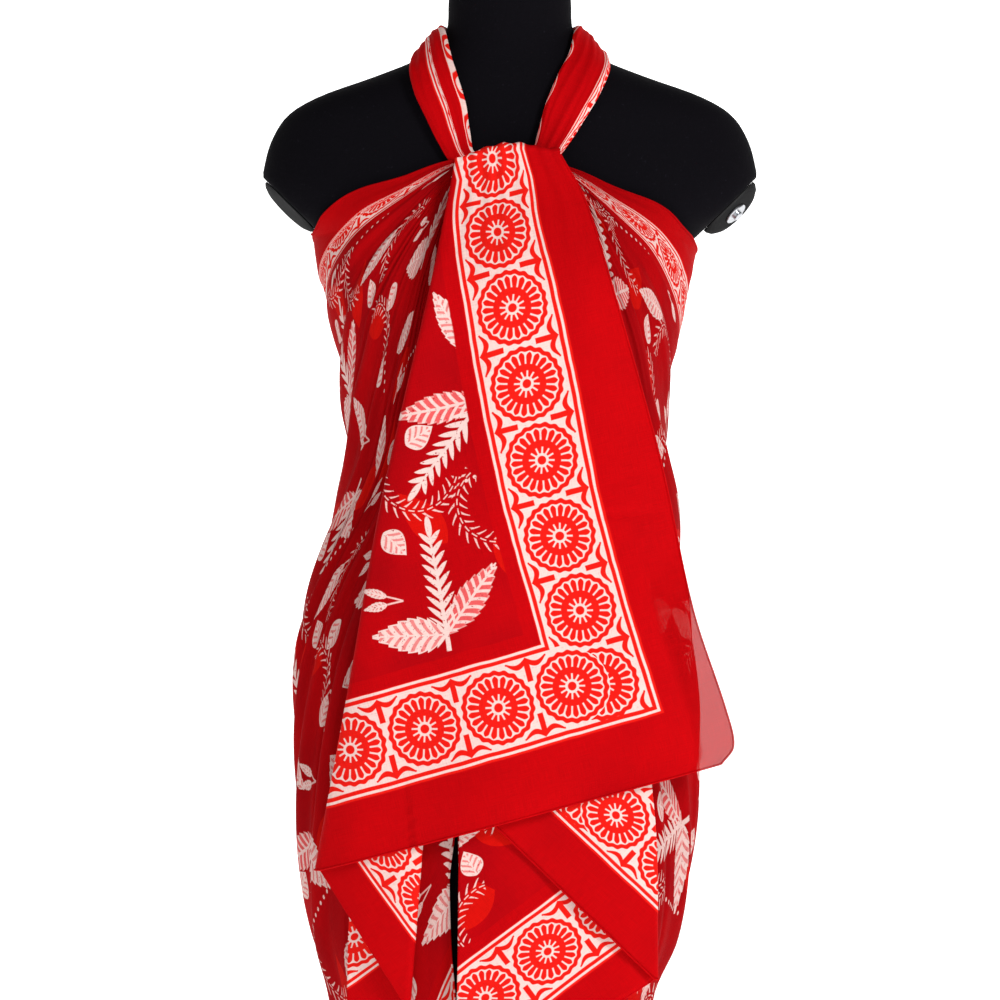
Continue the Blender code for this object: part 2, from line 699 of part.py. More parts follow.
def build_stand(collection):
    """A round weighted base, a pole, and the collar under the form, plus the form's neck cap."""
    form_foot = FORM[0].height
    collar_top = form_foot - SEAM_GAP
    collar_low = collar_top - COLLAR_HEIGHT
    pole_low = BASE_HUB_HEIGHT + SEAM_GAP
    turned("stand_base", [
        (0, BASE_HUB_HEIGHT),
        (BASE_HUB_RADIUS * 0.85, BASE_HUB_HEIGHT),
        (BASE_HUB_RADIUS, BASE_HUB_HEIGHT - 0.004),
        (BASE_HUB_RADIUS * 1.1, BASE_EDGE_HEIGHT + 0.008),
        (BASE_HUB_RADIUS * 1.6, BASE_EDGE_HEIGHT + 0.003),
        (BASE_RADIUS * 0.96, BASE_EDGE_HEIGHT),
        (BASE_RADIUS, BASE_EDGE_HEIGHT - 0.003),
        (BASE_RADIUS, 0),
        (0, 0),
    ], BLACK_ENAMEL, collection, steps=36)
    turned("stand_pole", [
        (0, collar_low - SEAM_GAP),
        (POLE_RADIUS, collar_low - SEAM_GAP),
        (POLE_RADIUS, pole_low),
        (0, pole_low),
    ], STEEL, collection)
    turned("stand_collar", [
        (0, collar_top),
        (COLLAR_RADIUS, collar_top),
        (COLLAR_RADIUS, collar_top - 0.005),
        (POLE_RADIUS * 1.3, collar_top - 0.008),
        (POLE_RADIUS * 1.3, collar_low),
        (0, collar_low),
    ], BLACK_ENAMEL, collection)
    top = FORM[-1]
    cap = [
        (0.0, 0.016), (0.30, 0.0155), (0.60, 0.0135), (0.82, 0.010), (0.96, 0.006), (1.0, 0.002),
        (1.0, SEAM_GAP),
    ]
    rings = []
    for share, rise in reversed(cap[1:]):
        rings.append([
            Vector((point.x * share, point.y * share, top.height + rise))
            for point in form_ring(top.height, FORM_SIDES)
        ])
    closed_loft("form_neck_cap", rings, BLACK_ENAMEL, collection)


def strap_path(points):
    """Centre points of a strap with their widths and how far off the form they lie."""
    path = []
    for step in range(STRAP_STEPS + 1):
        share = step / STRAP_STEPS
        guess = Vector([smooth_value(points, share, column) for column in ("x", "y_guess", "z")])
        width, thickness, over_form = (
            smooth_value(points, share, column) for column in ("width", "thickness", "over_form")
        )
        path.append((settled_on_form(guess, over_form + thickness / 2), width, thickness, over_form))
    return path


def build_strap(name, points, collection):
    """A rolled, softly pleated band of cloth from under the panels to the knot."""
    path = strap_path(points)
    rings = []
    for n, (centre, width, thickness, over_form) in enumerate(path):
        before, after = path[max(n - 1, 0)][0], path[min(n + 1, len(path) - 1)][0]
        along = (after - before).normalized()
        outward = form_distance(centre)[1]
        outward = (outward - along * outward.dot(along)).normalized()
        across = along.cross(outward)
        ring = []
        for i in range(STRAP_SIDES):
            angle = 2 * pi * i / STRAP_SIDES
            pleat = STRAP_PLEAT_DEPTH * cos(STRAP_PLEATS * pi * cos(angle))
            rise = thickness / 2 * signed_power(sin(angle), 0.8)
            rise += pleat if sin(angle) > 0.2 and n > STRAP_STEPS * 0.25 else 0
            point = centre + across * width / 2 * signed_power(cos(angle), 0.9) + outward * rise
            ring.append(clear_of_form(point, over_form))
        rings.append(ring)
    return closed_loft(name, rings, RED_CLOTH, collection)


def build_knot(collection):
    """A tight double knot at the nape, with the cloth's turns as grooves."""
    rings = []
    sides, levels = 18, 10
    for j in range(1, levels):
        rise = pi * j / levels
        ring = []
        for i in range(sides):
            angle = 2 * pi * i / sides
            turn = 1 + 0.07 * cos(3 * (rise + angle)) * sin(rise)
            ring.append(KNOT_CENTRE + Vector((
                KNOT_SIZE[0] * sin(rise) * cos(angle) * turn,
                KNOT_SIZE[1] * sin(rise) * sin(angle) * turn,
                -KNOT_SIZE[2] * cos(rise),
            )))
        rings.append(ring)
    return closed_loft("neck_knot", rings, RED_CLOTH, collection)


def tail_grid(side, length, columns=8, rows=8):
    """A cloth corner that fans out below the knot and ends in a point."""
    grid = []
    for j in range(rows + 1):
        down = j / rows
        width = smooth_value(TAIL, down, "width")
        middle = smooth_value(TAIL, down, "middle_x")
        off = smooth_value(TAIL, down, "off_form")
        row = []
        for i in range(columns + 1):
            t = i / columns
            x = side * (middle + (t - 0.5) * width)
            z = TAIL_TOP - down * (length + TAIL_POINT_DROP * t)
            wave = TAIL_WAVE * down * sin(t * 3 * pi)
            row.append(settled_on_form(Vector((x, 0.09, z)), off + wave))
        grid.append(row)
    return grid


def build_sarong(collection):
    for side, name, folds in ((-1, "wrap_left", LEFT_FOLDS), (1, "wrap_right", RIGHT_FOLDS)):
        grid = wrap_half(side, folds, FAN_COLUMNS, FAN_ROWS)
        trim_back_seam(grid, side)
        cloth_sheet(name, grid, collection, flip=side > 0)
    over_lines = (OVER_FREE_EDGE, OVER_FOLD, OVER_SECOND_FOLD, OVER_THIRD_FOLD)
    over = drape_sheet(over_lines, OVER_COLUMNS, OVER_ROWS)
    cloth_sheet("over_panel", panel_roll(over[0], OVER_COLUMNS[0]) + over, collection, flip=True)
    under_lines = (UNDER_FREE_EDGE, UNDER_FOLD, UNDER_OPENING_EDGE)
    under = drape_sheet(under_lines, UNDER_COLUMNS, UNDER_ROWS)
    cloth_sheet("under_panel", under, collection)
    build_strap("strap_left", LEFT_STRAP, collection)
    build_strap("strap_right", RIGHT_STRAP, collection)
    build_knot(collection)
    cloth_sheet("tail_left", tail_grid(-1, LEFT_TAIL_LENGTH), collection)
    cloth_sheet("tail_right", tail_grid(1, RIGHT_TAIL_LENGTH), collection, flip=True)


def trim_back_seam(grid, side):
    """Keeps the two halves of the wrap a seam's gap apart at the middle of the back."""
    for line in grid:
        for point in line:
            if point.y > 0 and point.x * side < SEAM_GAP:
                point.x = side * SEAM_GAP


def main():
    for old in list(bpy.data.objects):
        bpy.data.objects.remove(old)
    parts = bpy.data.collections.new("sarong on a dress form")
    cutters = bpy.data.collections.new("cutters")
    bpy.context.scene.collection.children.link(parts)
    bpy.context.scene.collection.children.link(cutters)
    build_form(parts, cutters)
    build_arm_fittings(parts)
    build_stand(parts)
    build_sarong(parts)


main()
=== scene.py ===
from math import cos, pi, radians, sin

import bpy
import numpy as np
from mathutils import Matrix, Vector


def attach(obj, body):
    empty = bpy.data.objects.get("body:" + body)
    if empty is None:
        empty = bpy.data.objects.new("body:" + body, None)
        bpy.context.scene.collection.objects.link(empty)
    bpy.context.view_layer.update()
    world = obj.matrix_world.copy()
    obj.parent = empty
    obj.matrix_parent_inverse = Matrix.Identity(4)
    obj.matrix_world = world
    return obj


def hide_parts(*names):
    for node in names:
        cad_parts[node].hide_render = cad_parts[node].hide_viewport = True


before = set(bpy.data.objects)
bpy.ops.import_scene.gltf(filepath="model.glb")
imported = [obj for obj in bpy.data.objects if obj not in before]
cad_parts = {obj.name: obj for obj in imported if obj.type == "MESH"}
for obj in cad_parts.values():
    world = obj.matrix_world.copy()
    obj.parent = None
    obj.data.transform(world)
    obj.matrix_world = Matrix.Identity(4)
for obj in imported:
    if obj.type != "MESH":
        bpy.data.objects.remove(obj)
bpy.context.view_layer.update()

print("frame loaded")


def curveThrough(rows, column):
    # a smooth curve through one column of a table whose first column is the key
    keys = np.array([row[0] for row in rows], float)
    values = np.array([row[column] for row in rows], float)
    low = np.maximum(np.arange(len(keys)) - 1, 0)
    high = np.minimum(np.arange(len(keys)) + 1, len(keys) - 1)
    slopes = (values[high] - values[low]) / (keys[high] - keys[low])

    def at(key):
        key = np.clip(key, keys[0], keys[-1])
        i = np.clip(np.searchsorted(keys, key, side="left") - 1, 0, len(keys) - 2)
        span = keys[i + 1] - keys[i]
        t = (key - keys[i]) / span
        return (
            values[i] * (1 + 2 * t) * (1 - t) ** 2
            + values[i + 1] * t * t * (3 - 2 * t)
            + slopes[i] * span * t * (1 - t) ** 2
            - slopes[i + 1] * span * t * t * (1 - t)
        )

    return at


def lerp(a, b, t):
    return a + (b - a) * t


def easeStep(low, high, x):
    t = np.clip((x - low) / (high - low), 0, 1)
    return t * t * (3 - 2 * t)


def signedPower(value, power):
    return np.abs(value) ** power * np.where(value >= 0, 1, -1)


def unit(v):
    return v / np.maximum(np.linalg.norm(v, axis=-1, keepdims=True), 1e-9)


def bump(x, middle, width):
    # a smooth hill of height 1
    return np.exp(-(((x - middle) / width) ** 2))


def softNoise(x, y, seed, octaves=3):
    # smooth seeded waves between about -1 and 1
    rng = np.random.default_rng(seed)
    total = 0
    for octave in range(octaves):
        for _ in range(4):
            angle = rng.uniform(0, 2 * pi)
            pull = 2 ** octave * rng.uniform(0.7, 1.3)
            phase = rng.uniform(0, 2 * pi)
            total = total + np.sin(2 * pi * pull * (x * cos(angle) + y * sin(angle)) + phase) / 2 ** octave
    return total / 5.5


form = {
    "sections": (  # height, half width, front depth, back depth, squareness
        (0.615, 0.0800, 0.0600, 0.0620, 2.2), (0.625, 0.1000, 0.0720, 0.0740, 2.2),
        (0.650, 0.1150, 0.0820, 0.0850, 2.2), (0.700, 0.1290, 0.0880, 0.0940, 2.2),
        (0.760, 0.1420, 0.0920, 0.1040, 2.2), (0.820, 0.1490, 0.0940, 0.1140, 2.2),
        (0.880, 0.1500, 0.0940, 0.1180, 2.2), (0.940, 0.1440, 0.0910, 0.1120, 2.2),
        (1.000, 0.1340, 0.0860, 0.0990, 2.2), (1.060, 0.1220, 0.0830, 0.0860, 2.2),
        (1.105, 0.1190, 0.0830, 0.0820, 2.2), (1.140, 0.1230, 0.0890, 0.0840, 2.2),
        (1.180, 0.1330, 0.0990, 0.0880, 2.2), (1.220, 0.1430, 0.1060, 0.0920, 2.2),
        (1.250, 0.1480, 0.1050, 0.0950, 2.3), (1.270, 0.1480, 0.1000, 0.0950, 2.3),
        (1.286, 0.1500, 0.0950, 0.0950, 2.3), (1.300, 0.1660, 0.0900, 0.0950, 2.3),
        (1.318, 0.1970, 0.0840, 0.0950, 2.3), (1.338, 0.2130, 0.0780, 0.0945, 2.3),
        (1.360, 0.2120, 0.0720, 0.0930, 2.3), (1.385, 0.2040, 0.0660, 0.0900, 2.2),
        (1.405, 0.1890, 0.0610, 0.0870, 2.2), (1.420, 0.1620, 0.0570, 0.0840, 2.1),
        (1.436, 0.1170, 0.0530, 0.0800, 2.0), (1.452, 0.0780, 0.0490, 0.0740, 2.0),
        (1.470, 0.0570, 0.0470, 0.0660, 2.0), (1.500, 0.0530, 0.0470, 0.0590, 2.0),
        (1.532, 0.0520, 0.0470, 0.0570, 2.0),
    ),
    "armCutTop": (0.2135, 1.349),  # x and height of the slanted arm cuts
    "armCutLow": (0.1580, 1.2945),
    "sides": 144,
    "levels": 200,
}
formHalf, formFront, formBack, formSquare = (curveThrough(form["sections"], n) for n in (1, 2, 3, 4))
cutTop, cutLow = (np.array(form[k]) for k in ("armCutTop", "armCutLow"))
cutAlong = cutTop - cutLow
cutNormal = np.array([cutAlong[1], -cutAlong[0]]) / np.linalg.norm(cutAlong)


def formShare(p):
    x, y, z = p[..., 0], p[..., 1], p[..., 2]
    depth = np.where(y < 0, formFront(z), formBack(z))
    power = formSquare(z)
    return ((np.abs(x) / formHalf(z)) ** power + (np.abs(y) / depth) ** power) ** (1 / power)


def formDistance(p):
    # how far outside the form, and the way straight out of it
    step = 0.0004
    share = formShare(p)
    slope = np.stack([(formShare(p + np.eye(3)[n] * step) - share) / step for n in range(3)], -1)
    steep = np.maximum(np.linalg.norm(slope, axis=-1), 1e-6)
    distance, outward = (share - 1) / steep, slope / steep[..., None]
    side = np.where(p[..., 0] >= 0, 1, -1)
    flat = np.stack([p[..., 0] * side, p[..., 2]], -1)
    beyond = (flat - cutTop) @ cutNormal
    onCut = ((flat - cutLow) @ cutAlong > 0) & (beyond > distance)
    cutOut = np.stack([cutNormal[0] * side, 0 * side, cutNormal[1] + 0 * side], -1)
    return np.where(onCut, beyond, distance), np.where(onCut[..., None], cutOut, outward)


def clearOfForm(p, gap):
    for _ in range(6):
        distance, outward = formDistance(p)
        p = p + outward * np.maximum(gap - distance, 0)[..., None]
    return p


def settledOnForm(p, gap):
    for _ in range(8):
        distance, outward = formDistance(p)
        p = p + outward * (gap - distance)[..., None]
    return p


def newPiece(name, points, faces, uv=None):
    mesh = bpy.data.meshes.new(name)
    mesh.from_pydata(points.reshape(-1, 3).tolist(), [], faces)
    if uv is not None:
        layer = mesh.uv_layers.new(name="cloth")
        order = np.empty(len(mesh.loops), np.int32)
        mesh.loops.foreach_get("vertex_index", order)
        layer.data.foreach_set("uv", uv.reshape(-1, 2)[order].astype(np.float32).ravel())
    mesh.shade_smooth()
    piece = bpy.data.objects.new(name, mesh)
    bpy.context.scene.collection.objects.link(piece)
    return piece


def gridFaces(rows, columns, start=0, flip=False, closed=False):
    faces = []
    for j in range(rows - 1):
        for i in range(columns if closed else columns - 1):
            a, b = start + j * columns + i, start + j * columns + (i + 1) % columns
            face = (a, b, b + columns, a + columns)
            faces.append(face[::-1] if flip else face)
    return faces


def closedTube(name, points, uv=None, flip=False):
    # rings of points with a flat face at both ends
    rows, sides = points.shape[:2]
    first, last = tuple(range(sides)), tuple(range((rows - 1) * sides, rows * sides))
    ends = [first, last[::-1]] if flip else [first[::-1], last]
    return newPiece(name, points, gridFaces(rows, sides, closed=True, flip=flip) + ends, uv)


def hemRoll(name, paths, uvs, radius=0.0009, sides=6):
    # a narrow rolled hem along the cut edges
    points, coords, faces, start = [], [], [], 0
    for path, uv in zip(paths, uvs):
        ahead = unit(np.gradient(path, axis=0))
        side = unit(np.cross(ahead, (0.3, -1, 0.2)))
        up = np.cross(side, ahead)
        turns = np.arange(sides) * 2 * pi / sides
        ring = path[:, None] + radius * (
            side[:, None] * np.cos(turns)[None, :, None] + up[:, None] * np.sin(turns)[None, :, None]
        )
        faces += gridFaces(len(path), sides, start, closed=True)
        start += len(path) * sides
        points.append(ring.reshape(-1, 3))
        coords.append(np.repeat(uv[:, None], sides, 1).reshape(-1, 2))
    return newPiece(name, np.concatenate(points), faces, np.concatenate(coords))


def thicken(piece):
    solid = piece.modifiers.new("cloth wall", "SOLIDIFY")
    solid.thickness = cloth["wall"]
    solid.offset = 1


cloth = {
    "leftHalf": 1.05,  # from the left short edge to the middle of the back
    "rightHalf": 0.95,
    "height": 1.05,
    "wall": 0.0007,
}
clothWide = cloth["leftHalf"] + cloth["rightHalf"]
wrap = {
    "sections": (  # height, left half width, right half width, front depth, back depth
        (0.250, 0.1380, 0.1260, 0.0980, 0.1130), (0.400, 0.1370, 0.1220, 0.0970, 0.1100),
        (0.500, 0.1380, 0.1180, 0.0970, 0.1080), (0.600, 0.1420, 0.1150, 0.0980, 0.1080),
        (0.645, 0.1500, 0.1180, 0.0990, 0.1100), (0.690, 0.1640, 0.1380, 0.1020, 0.1140),
        (0.755, 0.1730, 0.1510, 0.1050, 0.1200), (0.815, 0.1770, 0.1560, 0.1060, 0.1250),
        (0.880, 0.1790, 0.1570, 0.1060, 0.1270), (0.940, 0.1770, 0.1530, 0.1060, 0.1240),
        (0.985, 0.1690, 0.1480, 0.1050, 0.1160), (1.030, 0.1560, 0.1430, 0.1040, 0.1060),
        (1.070, 0.1440, 0.1390, 0.1040, 0.0980), (1.110, 0.1380, 0.1340, 0.1050, 0.0930),
        (1.155, 0.1410, 0.1330, 0.1080, 0.0940), (1.200, 0.1470, 0.1410, 0.1120, 0.0970),
        (1.240, 0.1570, 0.1490, 0.1130, 0.0995), (1.265, 0.1630, 0.1540, 0.1090, 0.1010),
        (1.300, 0.1680, 0.1620, 0.0990, 0.1020), (1.330, 0.1700, 0.1660, 0.0880, 0.1020),
        (1.360, 0.1700, 0.1680, 0.0810, 0.1020),
    ),
    "edges": (  # angle from the front, upper edge, hem
        (0, 1.362, 0.540), (14, 1.358, 0.525), (31, 1.340, 0.465), (46, 1.328, 0.415),
        (60, 1.314, 0.375), (75, 1.300, 0.338), (90, 1.292, 0.310), (110, 1.287, 0.287),
        (135, 1.285, 0.268), (160, 1.284, 0.256), (180, 1.284, 0.252),
    ),
    "leftFolds": (  # place in the fan, half width, height
        (0.090, 0.020, 0.0030), (0.200, 0.020, 0.0045), (0.320, 0.022, 0.0085),
        (0.410, 0.019, 0.0095), (0.495, 0.019, 0.0075), (0.575, 0.018, 0.0095),
        (0.660, 0.020, 0.0080), (0.750, 0.020, 0.0065), (0.840, 0.019, 0.0050),
        (0.915, 0.016, 0.0030),
    ),
    "rightFolds": (
        (0.120, 0.022, 0.0030), (0.250, 0.022, 0.0045), (0.350, 0.020, 0.0080),
        (0.445, 0.021, 0.0070), (0.545, 0.020, 0.0080), (0.640, 0.022, 0.0060),
        (0.740, 0.021, 0.0065), (0.845, 0.020, 0.0040),
    ),
    "clearance": 0.0040,
    "squareness": 2.3,
    "hemShare": 0.42,
    "foldSteepness": 1.1,
    "foldBend": 0.040,
    "gatherPleats": 46,
    "creaseDepth": 0.0034,
    "steepSide": 1.7,
    "rightEdgeDrop": 0.007,
    "leftEdgeRise": 0.006,
    # the upper border lies in pleats: place below the upper edge, true distance from the edge
    "leftBorder": ((0, 0), (0.042, 0.0515), (0.0455, 0.106), (0.071, 0.1365)),
    "rightBorder": ((0, 0), (0.041, 0.0515), (0.052, 0.068), (0.056, 0.092), (0.089, 0.1365)),
    "borderFold": 0.0020,
    "gatherRound": 0.040,
    "gatherHeight": 1.361,
    "gatherRadius": 0.0128,
    "openingRound": 0.052,
    "openingGap": 0.0062,
    "openingTop": 0.80,
    # the right half's front edge crosses to the left: where it starts, over which height, how far
    "crossing": {"top": 1.30, "drop": 0.42, "round": -0.0455, "share": 0.12},
    "slantedHem": 0.034,
    "columns": 300,
    "rows": 150,
    # the fan's lines on the flat cloth: distance from the short edge and from the hem
    "leftCloth": {"gatherLow": (0.17, 0.57), "gatherTop": (0.56, 1.05), "hemStart": 0.59, "back": 1.05},
    "rightCloth": {"gatherLow": (0.15, 0.57), "gatherTop": (0.50, 1.05), "hemStart": 0.45, "back": 0.95},
}
quarterRound, roundPower = 0.235, 0.8
fullRound = quarterRound * 2 ** roundPower
wrapLeft, wrapRight, wrapFront, wrapBack = (curveThrough(wrap["sections"], n) for n in (1, 2, 3, 4))
edgeTop, edgeHem = (curveThrough(wrap["edges"], n) for n in (1, 2))


def angleOf(roundDistance):
    return 90 * (np.maximum(roundDistance, 0) / quarterRound) ** (1 / roundPower)


def wrapPoint(side, roundDistance, height, lift):
    # a negative distance is past the middle, on the other half's side
    side = np.where(roundDistance >= 0, side, -side)
    angle = np.radians(angleOf(np.abs(roundDistance)))
    half = np.where(side < 0, wrapLeft(height), wrapRight(height))
    depth = np.where(np.cos(angle) > 0, wrapFront(height), wrapBack(height))
    x = side * half * signedPower(np.maximum(np.sin(angle), 0), 2 / wrap["squareness"])
    y = -depth * signedPower(np.cos(angle), 2 / wrap["squareness"])
    outward = unit(np.stack([x / half ** 2, y / depth ** 2, 0 * x], -1))
    return clearOfForm(np.stack([x, y, height], -1), wrap["clearance"]) + outward * lift[..., None]


def fanLift(folds, share, down):
    # each ridge rises slowly from below and drops steeply above, with a crease along that foot
    lift = 0
    for place, halfWidth, height in folds:
        off = (share - place) / halfWidth
        off = np.minimum(np.where(off > 0, off * wrap["steepSide"], -off), 2)
        most = np.minimum(wrap["foldSteepness"] * halfWidth * down, wrap["foldBend"] * down * down)
        lift = lift + np.minimum(height, most) * np.cos(off * pi / 4) ** 2
        crease = bump(share, place + 1.25 * halfWidth, 0.28 * halfWidth)
        lift = lift - np.minimum(wrap["creaseDepth"], most * 0.5) * crease * height / 0.0085
    return lift * (1 - 0.2 * down)


def fineLift(seed, share, down):
    # small pleats at the gather that run out into soft wrinkles
    rng = np.random.default_rng(seed)
    lift, count = 0, wrap["gatherPleats"]
    for n in range(count):
        place = (n + rng.uniform(-0.35, 0.35)) / count
        width = rng.uniform(0.22, 0.42) / count
        reach = rng.uniform(0.12, 0.75)
        strong = rng.uniform(0.4, 1.0)
        drift = rng.uniform(-0.02, 0.02)
        shape = np.exp(-(((share - place - drift * down) / width) ** 2))
        grow = np.minimum(down * 0.034, 0.0022) * np.exp(-((down / reach) ** 2) * 1.6)
        lift = lift + strong * grow * shape
    return lift


def wrapHalf(side, seed):
    # side is -1 for the left half and 1 for the right one
    half, other = ("left", "right")[:: -side]
    spread, border = wrap[half + "Cloth"], np.array(wrap[half + "Border"])
    columns, rows = wrap["columns"], wrap["rows"]
    share = np.repeat(np.linspace(0, 1, columns + 1)[:, None], rows + 1, 1)
    t = np.repeat((np.arange(rows + 1) / rows)[None, :], columns + 1, 0)
    hemShare = wrap["hemShare"]
    along = np.minimum(share / hemShare, 1)
    endRound = lerp(wrap["openingRound"], fullRound, along ** 1.15)
    up = np.maximum((share - hemShare) / (1 - hemShare), 0)
    backHem, backTop = wrap["edges"][-1][2], wrap["edges"][-1][1]
    endHeight = np.where(share <= hemShare, edgeHem(angleOf(endRound)), lerp(backHem, backTop, up))
    gatherRound, gatherHeight = wrap["gatherRound"], wrap["gatherHeight"]
    length = np.hypot(endRound - gatherRound, endHeight - gatherHeight)
    down = lerp(wrap["gatherRadius"] / length, 1, t ** 1.25)
    roundDistance = lerp(gatherRound, endRound, down)
    height = lerp(gatherHeight, endHeight, down)
    angle = angleOf(roundDistance)
    if side > 0:
        drop = wrap["rightEdgeDrop"] * np.sqrt(np.maximum(np.sin(np.radians(angle)), 0))
    else:
        drop = -wrap["leftEdgeRise"] * np.sin(np.radians(np.minimum(angle * 1.6, 180)))
    straight = lerp(gatherHeight, backTop, (roundDistance - gatherRound) / (fullRound - gatherRound))
    height = height + (edgeTop(angle) - drop - straight) * share ** 3
    if side > 0:
        crossing = wrap["crossing"]
        crossed = np.clip((crossing["top"] - height) / crossing["drop"], 0, 1)
        shift = crossed * (crossing["round"] - lerp(gatherRound, wrap["openingRound"], down))
        roundDistance = roundDistance + shift * np.maximum(1 - share / crossing["share"], 0) ** 2
    else:
        shift = wrap["openingGap"] * easeStep(wrap["openingTop"], wrap["openingTop"] - 0.06, height)
        roundDistance = roundDistance + shift * np.maximum(1 - share / 0.10, 0) ** 2
    # both halves' folds fade into each other at the back
    toBack = easeStep(0.72, 1.0, roundDistance / fullRound)
    ownLift, otherLift = (fanLift(wrap[name + "Folds"], share, down) for name in (half, other))
    lift = lerp(ownLift, (ownLift + otherLift) / 2, toBack)
    small = fineLift(seed, share, down)
    wrinkle = 0.0007 * (1 + softNoise(roundDistance * 9, height * 2.4, seed + 1)) * np.minimum(down * 4, 1)
    lift = lift + (small + wrinkle) * (1 - toBack) + 0.0005 * toBack + 0.0003
    inFront = 1 - easeStep(0.5, 0.8, roundDistance / fullRound)
    foldAt = border[1, 0]
    lift = lift + wrap["borderFold"] * inFront * easeStep(0.02, 0.2, down) * (
        1 - easeStep(foldAt - 0.003, foldAt + 0.003, 1 - share))
    # the same place on the flat cloth
    low, top = np.array(spread["gatherLow"]), np.array(spread["gatherTop"])
    startA, startB = lerp(low[0], top[0], share), lerp(low[1], top[1], share)
    hemA = lerp(spread["hemStart"], spread["back"], along ** 1.15)
    endA = np.where(share <= hemShare, hemA, spread["back"])
    endB = np.where(share <= hemShare, 0, up * cloth["height"])
    a, b = lerp(startA, endA, down), lerp(startB, endB, down)
    if side < 0:
        # beside the opening the cloth hangs at a slant, which draws the hem's border together
        b = b + wrap["slantedHem"] * easeStep(0, 0.11, b) * (1 - easeStep(0.1, 0.3, share))
    below = np.maximum(1 - share, 1e-6)
    shown = (cloth["height"] - b) * np.minimum(1, border[-1, 0] / below)
    hidden = np.interp(below, border[:, 0], border[:, 1]) - shown
    b = np.minimum(b - hidden * inFront * (1 - easeStep(0.1, 0.6, below)), cloth["height"])
    points = wrapPoint(side, roundDistance, height, lift)
    uv = np.stack([a if side < 0 else clothWide - a, b], -1)
    return points, uv


def buildWrap():
    left, leftUv = wrapHalf(-1, 3)
    right, rightUv = wrapHalf(1, 8)
    # one cloth: both halves end on the same line up the middle of the back
    first = int(round(wrap["hemShare"] * wrap["columns"]))
    middle = (left[first:, -1] + right[first:, -1]) / 2
    middle[:, 0] = 0
    left[first:, -1] = right[first:, -1] = middle
    faces = gridFaces(*left.shape[:2]) + gridFaces(*right.shape[:2], left[..., 0].size, True)
    piece = newPiece("wrap_cloth", np.concatenate([left, right]), faces, np.concatenate([leftUv, rightUv]))
    paths, uvs = [], []
    for grid, uv in ((left, leftUv), (right, rightUv)):
        paths += [grid[-1], grid[: first + 1, -1], grid[0]]
        uvs += [uv[-1], uv[: first + 1, -1], uv[0]]
    hem = hemRoll("wrap_hem", paths, uvs)
    print("wrap made")
    return piece, hem


face = {
    "depths": (  # height, how far in front of the middle the over panel's face lies
        (0.500, 0.1270), (0.650, 0.1280), (0.800, 0.1290), (1.000, 0.1300), (1.150, 0.1325),
        (1.220, 0.1335), (1.260, 0.1310), (1.300, 0.1190), (1.340, 0.1040), (1.375, 0.0960),
    ),
    "halfLeft": 0.205,
    "halfRight": 0.265,
}
overPanel = {
    # each line runs from the gather to the hem: how far down, x, height, how far behind the face
    "lines": (
        ((0.00, 0.0430, 1.3640, 0.000), (0.08, 0.0630, 1.3280, 0.000), (0.25, 0.0890, 1.2440, 0.000),
         (0.50, 0.1280, 1.1040, 0.000), (0.75, 0.1560, 0.9760, 0.000), (0.92, 0.1850, 0.8880, 0.000),
         (0.97, 0.1905, 0.8600, 0.000), (1.00, 0.1800, 0.8450, 0.000)),
        ((0.00, -0.0440, 1.3590, 0.000), (0.20, -0.0640, 1.2550, 0.000), (0.50, -0.1060, 1.0680, 0.000),
         (0.75, -0.1330, 0.9130, 0.000), (1.00, -0.1620, 0.7540, 0.000)),
        ((0.00, -0.0280, 1.3500, 0.006), (0.50, -0.0610, 1.0000, 0.008), (0.80, -0.0800, 0.7800, 0.009),
         (1.00, -0.0900, 0.6420, 0.010)),
        ((0.00, -0.0450, 1.3380, 0.012), (0.50, -0.1060, 0.9700, 0.016), (0.80, -0.1360, 0.7350, 0.0204),
         (1.00, -0.1400, 0.5850, 0.020)),
    ),
    "columns": (110, 44, 44),
    "rows": 170,
    "rollRadius": 0.0050,
    "rollRise": 0.0085,
    # height, and how far from the free edge the border's two outer lines lie on the drape
    "borderLines": (
        (0.88, 0.0523, 0.1346), (0.93, 0.0528, 0.1350), (0.985, 0.0547, 0.1361), (1.070, 0.0570, 0.1375),
        (1.155, 0.0518, 0.1332), (1.240, 0.0467, 0.1256), (1.308, 0.0450, 0.1173), (1.342, 0.0400, 0.1046),
    ),
    "trueLines": (0.0523, 0.1346),  # the same two lines on the flat cloth
    # each stretch on the flat cloth: a corner, the way from the short edge, the way up, start, stretch
    "flatMaps": (
        ((0.19125, 0.8541), (-0.967, -0.254), (-0.276, 0.961), 0.0, 1.0),
        ((-0.168, 0.753), (0.590, -0.807), (0.807, 0.590), 0.369, 1.45),
        ((-0.0859, 0.6425), (-0.804, -0.594), (-0.594, 0.804), 0.507, 1.31),
    ),
}
underPanel = {
    "lines": (
        ((0.00, -0.0180, 1.3520, 0.0088), (0.50, -0.0420, 1.1000, 0.008), (1.00, -0.0560, 0.8350, 0.008)),
        ((0.00, 0.0340, 1.3460, 0.0088), (0.50, 0.0930, 1.0000, 0.008), (0.80, 0.1200, 0.8000, 0.008),
         (1.00, 0.1230, 0.6620, 0.008)),
        ((0.00, -0.0100, 1.3300, 0.0130), (0.50, -0.0360, 0.9800, 0.015), (0.68, -0.0430, 0.7900, 0.015),
         (0.85, -0.0450, 0.6600, 0.015), (1.00, -0.0480, 0.5500, 0.015)),
    ),
    "columns": (60, 70),
    "rows": 130,
    "flatMaps": (
        ((-0.01785, 0.7963), (0.728, -0.685), (0.685, 0.728), 0.0441, 1.2),
        ((0.1275, 0.6577), (-0.80, -0.60), (-0.60, 0.80), 0.2557, 1.17),
    ),
}
faceDepth = curveThrough(face["depths"], 1)


